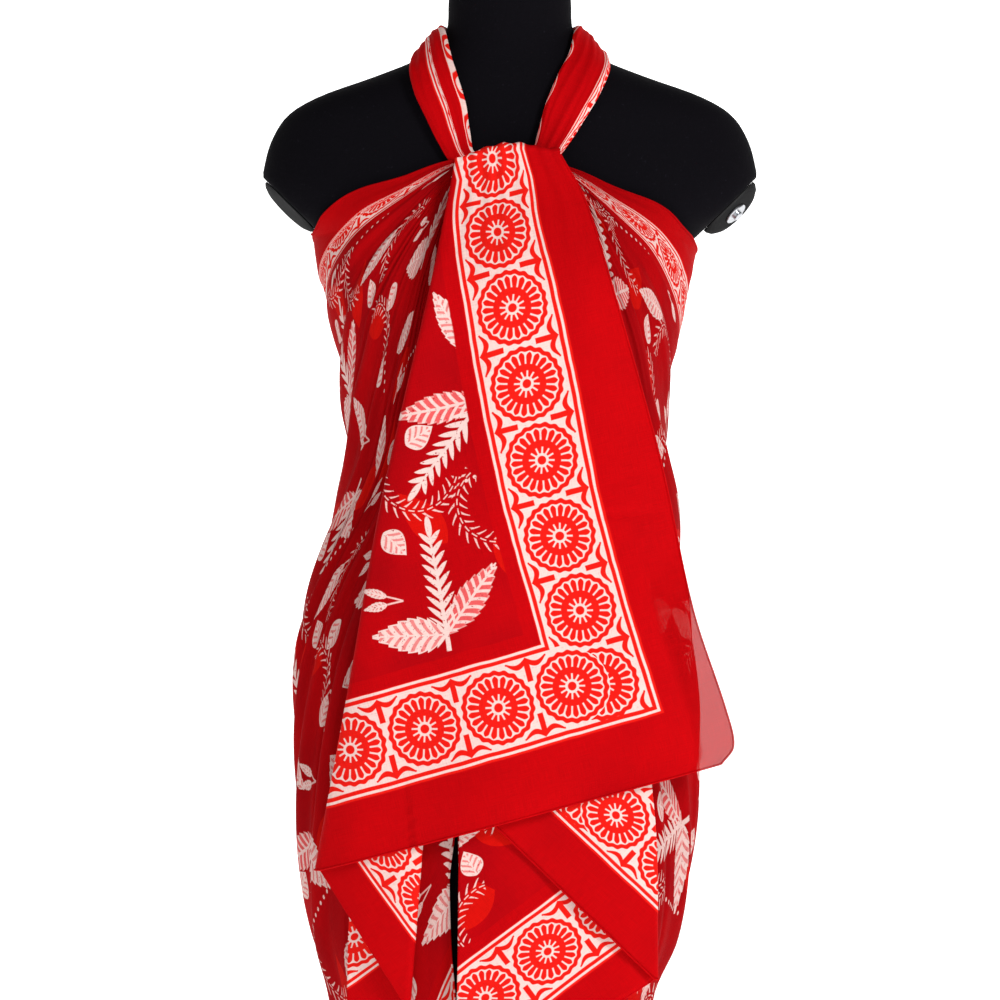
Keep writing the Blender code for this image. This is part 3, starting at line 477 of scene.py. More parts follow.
def panelDepth(x, z):
    half = np.where(x < 0, face["halfLeft"], face["halfRight"])
    share = np.minimum(np.abs(x) / half, 0.98)
    return faceDepth(z) * (1 - share ** 2.3) ** (1 / 2.3)


def drapeSheet(panel, downs):
    # flat stretches between the lines with a round fold at each inner line
    lines = [[curveThrough(line, n)(downs) for n in (1, 2, 3)] for line in panel["lines"]]
    levels = [lines[0][2]] + [line[2] for line in lines[2:]]
    xs, zs, behinds, strips, shares = [], [], [], [], []
    for i, count in enumerate(panel["columns"]):
        (x0, z0, _), (x1, z1, _) = lines[i], lines[i + 1]
        last = i == len(panel["columns"]) - 1
        for n in range(0 if i == 0 else 1, count + 1 if last else count):
            t = n / count
            xs.append(lerp(x0, x1, t))
            zs.append(lerp(z0, z1, t))
            behinds.append(levels[i])
            strips.append(i)
            shares.append(t)
        if not last:
            turn = np.where(x1 > x0, 1, -1)
            radius = (levels[i + 1] - levels[i]) / 2
            for step in range(9):
                angle = pi * step / 8
                xs.append(x1 + turn * radius * sin(angle))
                zs.append(z1)
                behinds.append(levels[i] + radius * (1 - cos(angle)))
                strips.append(i if step < 5 else i + 1)
                shares.append(1.0 if step < 5 else 0.0)
    x, z, behind = (np.array(v).T for v in (xs, zs, behinds))
    strip = np.repeat(np.array(strips)[None], len(downs), 0)
    share = np.repeat(np.array(shares)[None], len(downs), 0)
    return x, z, behind, strip, share


def flatPlace(panel, x, z, strip):
    a, b = 0 * x, 0 * x
    for n, (corner, along, up, start, stretch) in enumerate(panel["flatMaps"]):
        dx, dz = x - corner[0], z - corner[1]
        ownA = start + (dx * along[0] + dz * along[1])
        ownB = (dx * up[0] + dz * up[1]) * stretch
        a, b = np.where(strip == n, ownA, a), np.where(strip == n, ownB, b)
    return a, b


def buildOverPanel():
    rows = overPanel["rows"]
    downs = np.concatenate([np.linspace(0, 0.95, rows - 30, endpoint=False), np.linspace(0.95, 1, 31)])
    x, z, behind, strip, share = drapeSheet(overPanel, downs)
    down = np.repeat(downs[:, None], x.shape[1], 1)
    a, b = flatPlace(overPanel, x, z, strip)
    # the print follows the free edge, and narrows with the cloth towards the gather
    freeEdge = x[:, :1] * 0 + a[:, :1]
    first = strip == 0
    outerLine, innerLine = (curveThrough(overPanel["borderLines"], n)(z) for n in (1, 2))
    own = a - freeEdge * (1 - share) ** 3
    trueOuter, trueInner = overPanel["trueLines"]
    between = trueOuter + (own - outerLine) * (trueInner - trueOuter) / (innerLine - outerLine)
    own = np.where(own < outerLine, own * trueOuter / outerLine,
                   np.where(own < innerLine, between, own + trueInner - innerLine))
    a = np.where(first, own, a)
    b = np.where(first, np.maximum(b, 0.0) + 0.010 * easeStep(1.30, 1.352, z), b)
    # soft drape of the face, strongest low down, and fine gathers near the roll
    outer = easeStep(0.0, 0.25, down)
    drape = 0.0022 * np.sin(2 * pi * (share * 2.3 - 0.15) + 0.6 * down) * outer * (0.4 + down)
    drape = drape + 0.0012 * softNoise(share * 1.1, down * 1.3, 11) * outer
    gathers = 0.0009 * np.sin(2 * pi * (share * 7.5 + 0.25 * softNoise(share, down * 2, 5)))
    drape = drape + gathers * np.exp(-((down / 0.16) ** 2))
    pressed = -0.0013 * bump(z, 1.0585 + 0.018 * (x - 0.12), 0.0035) * easeStep(0.045, 0.085, x)
    slanted = -0.0008 * bump(z - 1.078 - 0.36 * (x - 0.07), 0, 0.003)
    slanted = slanted * easeStep(0.07, 0.09, x) * (x < 0.14)
    upright = 0.0026 * easeStep(-0.0850, -0.0835, x + 0.10 * (z - 0.8)) * easeStep(0.86, 0.80, z)
    drape = drape + pressed + slanted + upright
    onFace = np.where(first, np.minimum(share * 12, 1) * np.minimum((1 - share) * 14, 1) * 0.7 + 0.3, 0)
    inner = np.where(strip > 0, 0.0012 * softNoise(share * 1.5 + strip, down * 2.5, 21), 0)
    y = -(panelDepth(x, z) - behind) - 0.0003 - drape * onFace - inner * easeStep(0.3, 0.7, down)
    grid = np.stack([x, y, z], -1)
    uv = np.stack([np.maximum(a, 0), b], -1)
    # the upper edge rolls back over itself
    rise = overPanel["rollRise"] * bump(x, -0.001, 0.030) * np.exp(-((down / 0.05) ** 2)) * first
    grid[..., 2] += rise
    top, topUv, rollRows, rollUvs = grid[0], uv[0], [], []
    weight = np.clip((overPanel["columns"][0] - np.arange(x.shape[1])) / 20, 0, 1)
    radius = overPanel["rollRadius"] + 0.0008 * np.sin(np.arange(x.shape[1]) * 0.33)
    for step in range(14, 0, -1):
        angle = pi * 0.85 * step / 14
        back = radius * (1 - cos(angle)) * weight
        up = lerp(0.00015 * step, radius * sin(angle), weight)
        rollRows.append(top + np.stack([0 * back, back, up], -1))
        rollUvs.append(topUv + np.stack([0 * back, radius * angle * weight], -1))
    grid = np.concatenate([np.array(rollRows), grid])
    uv = np.concatenate([np.array(rollUvs), uv])
    piece = newPiece("over_panel_cloth", grid, gridFaces(*grid.shape[:2], flip=True), uv)
    thicken(piece)
    hem = hemRoll("over_panel_hem", [grid[14:, 0], grid[-1]], [uv[14:, 0], uv[-1]])
    print("over panel made")
    return piece, hem


def buildUnderPanel():
    downs = np.linspace(0, 1, underPanel["rows"] + 1)
    x, z, behind, strip, share = drapeSheet(underPanel, downs)
    down = np.repeat(downs[:, None], x.shape[1], 1)
    a, b = flatPlace(underPanel, x, z, strip)
    wave = 0.0016 * np.sin(2 * pi * (share * 1.6 + 0.2 * strip))
    wave = wave + 0.0010 * softNoise(share + strip, down * 3, 31)
    wave = wave * easeStep(0.5, 0.85, down) * np.minimum(np.minimum(share, 1 - share) * 8, 1)
    y = -(panelDepth(x, z) - behind) - 0.0003 - wave
    grid = np.stack([x, y, z], -1)
    uv = np.stack([clothWide - np.maximum(a, 0), b], -1)
    piece = newPiece("under_panel_cloth", grid, gridFaces(*grid.shape[:2]), uv)
    thicken(piece)
    hem = hemRoll("under_panel_hem", [grid[:, 0], grid[-1]], [uv[:, 0], uv[-1]])
    print("under panel made")
    return piece, hem


strapShared = (
    (0.57, -0.0710, 1.4530, -0.045, 0.0380, 0.0090, 0.0023),
    (0.67, -0.0700, 1.4660, -0.015, 0.0340, 0.0100, 0.0021),
    (0.78, -0.0640, 1.4670, 0.020, 0.0310, 0.0100, 0.0021),
    (0.89, -0.0460, 1.4610, 0.055, 0.0270, 0.0100, 0.0024),
    (1.00, -0.0185, 1.4530, 0.077, 0.0210, 0.0100, 0.0026),
)
straps = {
    # how far along, x, height, guess of y, width, thickness, how far off the form
    "left": (
        (0.00, 0.0290, 1.3480, -0.080, 0.0130, 0.0050, 0.0024),
        (0.08, 0.0050, 1.3515, -0.080, 0.0150, 0.0050, 0.0024),
        (0.16, -0.0200, 1.3545, -0.080, 0.0180, 0.0050, 0.0024),
        (0.24, -0.0400, 1.3640, -0.080, 0.0220, 0.0055, 0.0024),
        (0.31, -0.0490, 1.3850, -0.078, 0.0300, 0.0080, 0.0026),
        (0.39, -0.0560, 1.4080, -0.074, 0.0370, 0.0090, 0.0026),
        (0.48, -0.0650, 1.4320, -0.066, 0.0400, 0.0090, 0.0028),
    ) + strapShared,
    "right": (
        (0.00, -0.0200, 1.3490, -0.088, 0.0130, 0.0070, 0.0086),
        (0.08, -0.0030, 1.3515, -0.088, 0.0150, 0.0070, 0.0086),
        (0.16, 0.0140, 1.3560, -0.088, 0.0180, 0.0070, 0.0086),
        (0.24, 0.0290, 1.3660, -0.086, 0.0220, 0.0070, 0.0078),
        (0.31, 0.0390, 1.3850, -0.079, 0.0300, 0.0080, 0.0036),
        (0.39, 0.0490, 1.4080, -0.074, 0.0370, 0.0090, 0.0028),
        (0.48, 0.0610, 1.4320, -0.066, 0.0400, 0.0090, 0.0028),
    ) + tuple((row[0], -row[1], *row[2:]) for row in strapShared),
    # across the strap from the left to the right, and how far from the cloth's edge that is
    "leftBorder": (
        (-1, 0.006), (-0.16, 0.0495), (-0.07, 0.0525), (-0.02, 0.0550), (0.03, 0.0580), (0.11, 0.0650),
        (0.13, 0.0400), (0.60, 0.0300), (0.66, 0.0500), (0.70, 0.0523), (0.76, 0.0552), (1, 0.0580),
    ),
    "rightBorder": (
        (-1, 0.0560), (-0.90, 0.0500), (-0.80, 0.0450), (0, 0.0200), (0.54, 0.0400), (0.62, 0.0505),
        (0.70, 0.0555), (0.80, 0.0620), (1, 0.0780),
    ),
    "peeks": 7,
    "steps": 150,
    "sides": 120,
}


def buildStrap(name, side, seed):
    share = np.linspace(0, 1, straps["steps"] + 1)
    x, z, y, width, thick, off = (curveThrough(straps[side], n)(share) for n in range(1, 7))
    centre = settledOnForm(np.stack([x, y, z], -1), off + thick / 2)
    along = unit(np.gradient(centre, axis=0))
    outward = formDistance(centre)[1]
    outward = unit(outward - along * (outward * along).sum(-1, keepdims=True))
    sideways = np.cross(along, outward)
    count = straps["sides"]
    angle = -pi / 2 + 2 * pi * np.arange(count + 1) / count
    s = share[:, None]
    place = np.cos(angle)[None] + 0 * s
    rng = np.random.default_rng(seed)
    pleats = 0
    for n in range(5):
        middle = -0.85 + n * 0.42 + rng.uniform(-0.08, 0.08) + 0.10 * np.sin(2 * pi * (s * 1.4 + n * 0.3))
        pleats = pleats + (0.0007 + 0.0006 * rng.random()) * np.exp(-(((place - middle) / 0.13) ** 2))
    outer = np.clip(np.sin(angle)[None] * 2.2, 0, 1)
    rise = thick[:, None] / 2 * signedPower(np.sin(angle)[None], 0.8)
    rise = rise + (pleats * 1.15 - 0.0010) * outer * easeStep(0.2, 0.3, s)
    points = centre[:, None] + sideways[:, None] * (width[:, None] / 2 * signedPower(place, 0.9))[..., None]
    points = points + outward[:, None] * rise[..., None]
    points = clearOfForm(points, 0.0018)
    length = np.concatenate([[0], np.cumsum(np.linalg.norm(np.diff(centre, axis=0), axis=1))])
    # the cloth's upper border runs along the strap, with part of it hidden in the pleats
    across = np.array(straps[side + "Border"])
    peek = np.sin(2 * pi * straps["peeks"] * s + seed) * easeStep(0.6, 1, abs(place))
    fromEdge = np.interp(place, across[:, 0], across[:, 1]) + 0.0045 * peek
    a = (0.46 - length)[:, None] + 0 * place
    uv = np.stack([a if side == "right" else clothWide - a, cloth["height"] - fromEdge], -1)
    piece = newPiece(name, points, gridFaces(*points.shape[:2], flip=True), uv)
    around = np.linalg.norm(np.diff(points[70], axis=0), axis=1).sum()
    print(name, "length", round(float(length[-1]), 3), "round", round(float(around), 3))
    return piece, float(length[-1]), float(around)


knotSize = (0.0190, 0.0125, 0.0190)  # half its width, depth and height
knotPlace = (0.0894, 1.4500)  # how far back, height


def buildKnot():
    levels, sides = 60, 72
    rise = pi * (0.03 + 0.94 * np.arange(levels + 1) / levels)[:, None]
    angle = (2 * pi * np.arange(sides) / sides)[None]
    groove = 1 + 0.05 * np.cos(3 * (rise + angle)) * np.sin(rise)
    groove = groove + 0.025 * np.sin(7 * angle - 5 * rise) * np.sin(rise)
    (halfWidth, halfDepth, halfHeight), (behind, middle) = knotSize, knotPlace
    x = halfWidth * np.sin(rise) * np.cos(angle) * groove
    y = behind + halfDepth * np.sin(rise) * np.sin(angle) * groove
    z = middle - halfHeight * np.cos(rise) + 0 * angle
    points = np.stack([x, y, z], -1)
    uv = np.stack([1.0 + 0.2 * x + 0.02 * angle, 0.99 + 0.6 * (z - middle) + 0.02 * np.sin(3 * angle)], -1)
    return closedTube("neck_knot_cloth", points, uv)


tails = {
    # how far down, width, its middle's distance from the centre, how far off the form
    "rows": (
        (0.00, 0.0140, 0.0085, 0.0060), (0.25, 0.0240, 0.0140, 0.0080),
        (0.60, 0.0420, 0.0240, 0.0130), (1.00, 0.0560, 0.0320, 0.0160),
    ),
    "top": 1.4323,
    "lengths": {"left": 0.175, "right": 0.150},
    "pointDrop": 0.030,
    "wave": 0.0035,
}


def buildTail(name, side):
    sign = -1 if side == "left" else 1
    down = np.linspace(0, 1, 91)[:, None]
    t = np.linspace(0, 1, 61)[None]
    width, middle, off = (curveThrough(tails["rows"], n)(down) for n in (1, 2, 3))
    x = sign * (middle + (t - 0.5) * width)
    z = tails["top"] - down * (tails["lengths"][side] + tails["pointDrop"] * t)
    pleats = 0.0011 * np.sin(2 * pi * t * 4.5) * (1 - down) ** 1.5 * easeStep(0, 0.1, down)
    wave = tails["wave"] * down * np.sin(t * 3 * pi) + pleats + 0.0006 * softNoise(t, down * 2, 41 + sign)
    points = settledOnForm(np.stack([x + 0 * z, 0.09 + 0 * z, z], -1), off + wave)
    fromTip = tails["lengths"][side] * (1 - down) * 1.3
    a = 0.004 + fromTip * 0.8 + (1 - t) * 0.09 * down + 0 * z
    b = cloth["height"] - 0.004 - fromTip * 0.55 - t * 0.02 * down
    uv = np.stack([a if side == "right" else clothWide - a, b], -1)
    piece = newPiece(name, points, gridFaces(*points.shape[:2], flip=side == "right"), uv)
    thicken(piece)
    return piece


def buildForm():
    levels, sides = form["levels"], form["sides"]
    z = np.linspace(form["sections"][0][0], form["sections"][-1][0], levels + 1)[:, None]
    angle = (2 * pi * (np.arange(sides) + 0.5) / sides)[None]
    power = formSquare(z)
    depth = np.where(np.sin(angle) < 0, formFront(z), formBack(z))
    x = formHalf(z) * signedPower(np.cos(angle), 2 / power)
    y = depth * signedPower(np.sin(angle), 2 / power)
    points = np.stack([x, y, z + 0 * x], -1)
    # slide what lies past the slanted cut back onto it
    side = np.sign(points[..., 0])
    flat = np.stack([points[..., 0] * side, points[..., 2]], -1)
    beyond = np.maximum((flat - cutTop) @ cutNormal, 0) * ((flat - cutLow) @ cutAlong > -0.002)
    points[..., 0] -= side * beyond / cutNormal[0]
    piece = closedTube("form_body", points)
    print("form made")
    return piece


def turnedPiece(name, profile, steps=96):
    # the profile runs from the top of the axis down the outer side
    turn = 2 * pi * np.arange(steps) / steps
    rings = [np.stack([r * np.cos(turn), r * np.sin(turn), z + 0 * turn], -1) for r, z in profile]
    piece = closedTube(name, np.array(rings), flip=True)
    piece.data.set_sharp_from_angle(angle=radians(35))
    return piece


stand = {  # radius and height of each turned part, from the top down
    "base": (
        (0.0235, 0.026), (0.0255, 0.026), (0.028, 0.0248), (0.030, 0.022), (0.0315, 0.0175),
        (0.034, 0.0145), (0.040, 0.0122), (0.048, 0.011), (0.100, 0.0092), (0.160, 0.008),
        (0.1665, 0.0072), (0.1692, 0.0058), (0.170, 0.004), (0.170, 0.0008), (0.1692, 0.0),
    ),
    "pole": ((0.0146, 0.5984), (0.015, 0.598), (0.015, 0.0267), (0.0146, 0.0263)),
    "collar": (
        (0.0325, 0.6147), (0.034, 0.6135), (0.034, 0.6107), (0.0325, 0.6095),
        (0.0205, 0.6067), (0.0195, 0.6055), (0.0195, 0.5999), (0.0185, 0.5987),
    ),
}


def standPieces():
    made = {}
    for part, node in (("base", "stand_base"), ("pole", "stand_pole"), ("collar", "stand_collar")):
        made[part] = turnedPiece("turned_" + part, stand[part])
        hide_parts(node)
    print("stand made")
    return made


studio = {
    "span": 0.85,  # metres across the photograph at the front of the cloth
    "distance": 7.0,
    "front": -0.12,
    "middle": (-0.0085, 1.07),
    "lamps": (  # name, place, size, watts
        ("key", (2.3, -2.9, 2.6), 1.0, 88), ("fill", (-2.2, -3.6, 1.5), 2.0, 12),
        ("low", (0.0, -4.2, 0.5), 2.0, 6), ("rimLeft", (-2.4, 1.4, 2.2), 1.0, 6),
        ("rimRight", (2.4, 1.4, 2.2), 1.0, 10),
    ),
    "skyStrength": 0.22,
    "floorGlow": 0.95,
    # the floor sweeps up behind, far enough off to look at the back from inside it
    "floorReach": 14.0,
    "sweepStart": 8.2,
    "sweepRadius": 1.2,
    "wallTop": 9.0,
}


def buildStudio():
    reach, start, radius = studio["floorReach"], studio["sweepStart"], studio["sweepRadius"]
    profile = [(-reach, 0.0), (start, 0.0)]
    for n in range(1, 13):
        angle = pi / 2 * n / 12
        profile.append((start + radius * sin(angle), radius * (1 - cos(angle))))
    profile.append((start + radius, studio["wallTop"]))
    floorPoints = [(x, y, z) for y, z in profile for x in (-reach, reach)]
    floor = newPiece("studio_floor", np.array(floorPoints), gridFaces(len(profile), 2, flip=True))
    for name, place, size, power in studio["lamps"]:
        lamp = bpy.data.lights.new(name, "AREA")
        lamp.energy, lamp.size = power, size
        made = bpy.data.objects.new(name, lamp)
        made.location = place
        # every lamp points at the middle of the form
        made.rotation_euler = (Vector((0, 0, 1.0)) - Vector(place)).to_track_quat("-Z", "Y").to_euler()
        bpy.context.scene.collection.objects.link(made)
    wall = Finish("paleBackdrop")
    grain = wall.noise(wall.node("ShaderNodeTexCoord", {}, {}, 3), 3.0, 2)
    wall.set(Base_Color=wall.mixColour(grain, (0.9, 0.9, 0.9, 1), (0.94, 0.94, 0.94, 1)), Roughness=0.9)
    wall.set(Emission_Color=(1, 1, 1, 1), Emission_Strength=studio["floorGlow"])
    floor.data.materials.append(wall.material)
    bpy.context.scene.view_settings.view_transform = "Standard"
    world = bpy.data.worlds.new("studio")
    world.use_nodes = True
    sky = world.node_tree.nodes["Background"]
    sky.inputs["Color"].default_value = (1, 1, 1, 1)
    sky.inputs["Strength"].default_value = studio["skyStrength"]
    bpy.context.scene.world = world
    camera = bpy.data.cameras.new("camera")
    camera.sensor_width = 36
    camera.lens = 36 * (studio["distance"] + studio["front"]) / studio["span"]
    camera.clip_end = 60
    view = bpy.data.objects.new("camera", camera)
    view.location = (studio["middle"][0], -studio["distance"], studio["middle"][1])
    view.rotation_euler = (pi / 2, 0, 0)
    bpy.context.scene.collection.objects.link(view)
    bpy.context.scene.camera = view
    print("studio made")


class Wire:
    # one socket of a material, so that sums on it read as plain expressions
    def __init__(self, finish, socket):
        self.finish, self.socket = finish, socket

    def maths(self, operation, *others, clamp=False, first=None):
        values = (first, self) if first is not None else (self,)
        return self.finish.node("ShaderNodeMath", {"operation": operation, "use_clamp": clamp},
                                dict(enumerate(values + others)))

    def __add__(self, other):
        return self.maths("ADD", other)

    def __sub__(self, other):
        return self.maths("SUBTRACT", other)

    def __rsub__(self, other):
        return self.maths("SUBTRACT", first=other)

    def __mul__(self, other):
        return self.maths("MULTIPLY", other)

    def __truediv__(self, other):
        return self.maths("DIVIDE", other)

    def __neg__(self):
        return self.maths("MULTIPLY", -1)

    def __abs__(self):
        return self.maths("ABSOLUTE")

    __radd__, __rmul__ = __add__, __mul__

    def least(self, other):
        return self.maths("MINIMUM", other)

    def most(self, other):
        return self.maths("MAXIMUM", other)

    def power(self, other):
        return self.maths("POWER", other)

    def below(self, limit, soft=0.5):
        # 1 where the value is under the limit, with a soft edge
        return self.maths("MULTIPLY_ADD", -1 / soft, limit / soft + 0.5, clamp=True)

    def above(self, limit, soft=0.5):
        return self.maths("MULTIPLY_ADD", 1 / soft, 0.5 - limit / soft, clamp=True)

    def between(self, low, high, soft=0.5):
        return abs(self - (low + high) / 2).below((high - low) / 2, soft)

    def fromStripe(self, pitch):
        # distance from the nearest of many lines, one every pitch
        return abs(self - self.maths("SNAP", pitch) - pitch / 2)


class Finish:
    # a material and the one method that adds its nodes
    def __init__(self, name):
        self.material = bpy.data.materials.new(name)
        self.material.use_nodes = True
        self.tree = self.material.node_tree
        self.surface = self.tree.nodes["Principled BSDF"]

    def node(self, kind, settings, inputs, output=0):
        made = self.tree.nodes.new(kind)
        for key, value in settings.items():
            setattr(made, key, value)
        for key, value in inputs.items():
            self.plug(made.inputs[key], value)
        return Wire(self, made.outputs[output])

    def plug(self, socket, value):
        if isinstance(value, Wire):
            self.tree.links.new(value.socket, socket)
        else:
            socket.default_value = value

    def set(self, **inputs):
        for key, value in inputs.items():
            self.plug(self.surface.inputs[key.replace("_", " ")], value)

    def mix(self, share, a, b):
        return self.node("ShaderNodeMix", {"data_type": "FLOAT"}, {0: share, 2: a, 3: b})

    def mixColour(self, share, a, b):
        return self.node("ShaderNodeMix", {"data_type": "RGBA"}, {0: share, 6: a, 7: b}, 2)

    def mixPlace(self, share, a, b):
        return self.node("ShaderNodeMix", {"data_type": "VECTOR"}, {0: share, 4: a, 5: b}, 1)

    def vector(self, operation, *values, output=0):
        return self.node("ShaderNodeVectorMath", {"operation": operation}, dict(enumerate(values)), output)

    def split(self, vector):
        made = self.tree.nodes.new("ShaderNodeSeparateXYZ")
        self.plug(made.inputs[0], vector)
        return [Wire(self, socket) for socket in made.outputs]

    def join(self, x, y, z=0.0):
        return self.node("ShaderNodeCombineXYZ", {}, {0: x, 1: y, 2: z})

    def spin(self, vector, angle):
        settings = {"rotation_type": "Z_AXIS"}
        return self.node("ShaderNodeVectorRotate", settings, {"Vector": vector, "Angle": angle})

    def noise(self, vector, scale, detail):
        return self.node("ShaderNodeTexNoise", {}, {"Vector": vector, "Scale": scale, "Detail": detail})

    def bump(self, height, distance, strength):
        inputs = {"Strength": strength, "Distance": distance, "Height": height}
        return self.node("ShaderNodeBump", {}, inputs)


def colour(red, green, blue):
    # from screen values of 0 to 255
    parts = [v / 255 for v in (red, green, blue)]
    return tuple(v / 12.92 if v <= 0.04045 else ((v + 0.055) / 1.055) ** 2.4 for v in parts) + (1,)


printed = {
    # all in millimetres on the flat cloth
    "outerLine": (52.5, 54.8),
    "outerRule": (54.8, 58.4),
    "innerRule": (128.6, 132.1),
    "innerLine": (132.1, 134.4),
    "plainStrip": 147.0,
    "rowCentre": 93.5,
    "pitch": 65.6,
    "firstOnLongEdge": 118.7,
    "firstOnShortEdge": 88.5,
    # one roundel, from its rim inwards: radii of the rim, the hub, the rays' middle and the eye
    "rimOuter": 31.2,
    "rimInner": 27.1,
    "hub": 17.0,
    "rayMiddle": 8.0,
    "eye": 4.9,
    "petals": 22,
    "rays": 12,
    "tile": (262.0, 304.0),
    # x, y and turn in degrees of each motif in the field's repeat
    "sprigs": ((218, 165, 84), (33, 45, 220)),
    "roundLeaves": (
        (225, 25, 21), (190, 263, -60), (62, 196, 96), (132, 178, 205), (86, 112, 38), (158, 22, 300),
    ),
    "bigLeaves": ((108, 22, 76), (32, 84, 112), (98, 252, 200), (148, 112, 4)),
    "slimPairs": ((190, 203, 165), (62, 78, 150), (150, 66, 28), (112, 292, 8)),
    "arcRadius": 34,
    "fernArcs": ((230, 2, 255), (74, 152, 30), (122, 218, 120), (28, 262, 200)),
    "paleLeaves": (
        (100, 160, 150), (200, 90, 200), (20, 200, 70), (240, 240, 120), (60, 20, 10), (140, 300, 60),
    ),
    "dotRows": ((112, 132, 84), (40, 292, 10), (196, 76, 170)),
    "marginRed": (188, 0, 6),
    "fieldRed": (182, 0, 7),
    "deepRed": (160, 0, 8),
    "ornamentRed": (230, 26, 18),
    "paleRed": (214, 16, 6),
    "salmon": (224, 74, 76),
    "white": (238, 203, 196),
}


def nearestOf(f, place, spots):
    # the place measured from the nearest of these motifs, turned its way
    wide, tall = printed["tile"]
    chosen = chosenLength = None
    for x, y, turn in spots:
        own = f.vector("SUBTRACT", place, (x, y, radians(turn) * 0.01))
        own = f.vector("WRAP", own, (wide / 2, tall / 2, 1), (-wide / 2, -tall / 2, -1))
        length = f.vector("LENGTH", own, output=1)
        if chosen is None:
            chosen, chosenLength = own, length
        else:
            chosen = f.mixPlace(length.maths("LESS_THAN", chosenLength), chosen, own)
            chosenLength = length.least(chosenLength)
    return f.spin(chosen, f.split(chosen)[2] * 100)


def leafInk(f, place, length, half, vein, serration=0.0, skew=0.8, dark=False):
    # how much ink a veined leaf takes here, and how white it is
    x, y, _ = f.split(place)
    side = abs(y)
    share = (x / length).maths("ADD", 0, clamp=True)
    edge = side - (share.power(skew) * pi).maths("SINE") * half
    if serration:
        edge = edge - (x / vein).maths("FRACT") * serration
    edge = edge.most(-x).most(x - length)
    veins = (x - side * 1.05 + side.power(2) * 0.03).fromStripe(vein).below(vein * 0.2, 0.7)
    whole = edge.below(0)
    rim = edge.above(-1.2)
    if dark:
        tone = veins.most(side.below(1.1)).most(rim * 0.35) * 0.9 + 0.06
    else:
        tone = (1 - veins * 0.72).most(rim).most(side.below(0.8))
    return whole, tone


def fernInk(f, place):
    # a stem with slanted leaflets on both sides and a pointed tip
    x, y, _ = f.split(place)
    side = abs(y)
    s = x - side * 0.95
    reach = 14.0 - x * 0.05
    leaflet = s.fromStripe(9.4) * 0.78 - (1 - (side / reach).power(3.0)) * 2.5
    leaflet = leaflet.most(5 - s).most(s - 86)
    stem = (side - (1.9 - x * 0.012)).most(-14 - x).most(x - 92)
    tip = f.vector("LENGTH", f.join((x - 93) / 9, y / 2.8), output=1) * 2.8 - 2.8
    return leaflet.least(stem).least(tip).below(0)


def arcInk(f, place):
    # short dashes on both sides of a curved stem
    x, y, _ = f.split(place)
    r = f.vector("LENGTH", f.join(x, y, 0), output=1)
    along = y.maths("ARCTAN2", x) * printed["arcRadius"]
    out = abs(r - printed["arcRadius"])
    dash = (along - out * 0.9).fromStripe(8.2) * 0.75 - (1.1 - out * 0.09)
    dash = dash.most(2.2 - out).most(out - 8.5)
    stem = (out - 0.5).most(along.fromStripe(8.2) - 2.6)
    return dash.least(stem).most(abs(along) - 48).below(0)


def dotInk(f, place):
    # a short row of dots
    x, y, _ = f.split(place)
    dot = f.vector("LENGTH", f.join(x.fromStripe(7.6), y), output=1) - 1.5
    return dot.most(abs(x) - 36).below(0)


def fieldInk(f, place):
    # all the field's motifs, laid one over another: where the ink is, and how white
    ink, tone = None, None

    def lay(own, ownTone):
        nonlocal ink, tone
        tone = ownTone if tone is None else f.mix(own, tone, ownTone)
        ink = own if ink is None else ink.most(own)

    lay(dotInk(f, nearestOf(f, place, printed["dotRows"])), 0.9)
    lay(arcInk(f, nearestOf(f, place, printed["fernArcs"])), 0.85)
    slim = nearestOf(f, place, printed["slimPairs"])
    for turn, length in ((-13, 21), (14, 23)):
        own = f.vector("SUBTRACT", f.spin(slim, radians(turn)), (14, 0, 0))
        lay(*leafInk(f, own, length, 3.6, 3.4, 0.5))
        x, y, _ = f.split(own)
        lay((abs(y) - 0.7).most(x).most(-14 - x).below(0), 0.8)
    lay(*leafInk(f, nearestOf(f, place, printed["roundLeaves"]), 27, 10.5, 6.0, 0.0, 0.72))
    lay(*leafInk(f, nearestOf(f, place, printed["bigLeaves"]), 64, 10.5, 6.6, 1.0, 0.85))
    sprig = nearestOf(f, place, printed["sprigs"])
    lay(*leafInk(f, f.spin(sprig, radians(-82)), 64, 14.0, 8.4, 2.2, 0.75))
    lay(*leafInk(f, f.spin(sprig, radians(44)), 74, 11.5, 8.0, 2.0, 0.9, dark=True))
    lay(fernInk(f, sprig), 1.0)
    return ink, tone


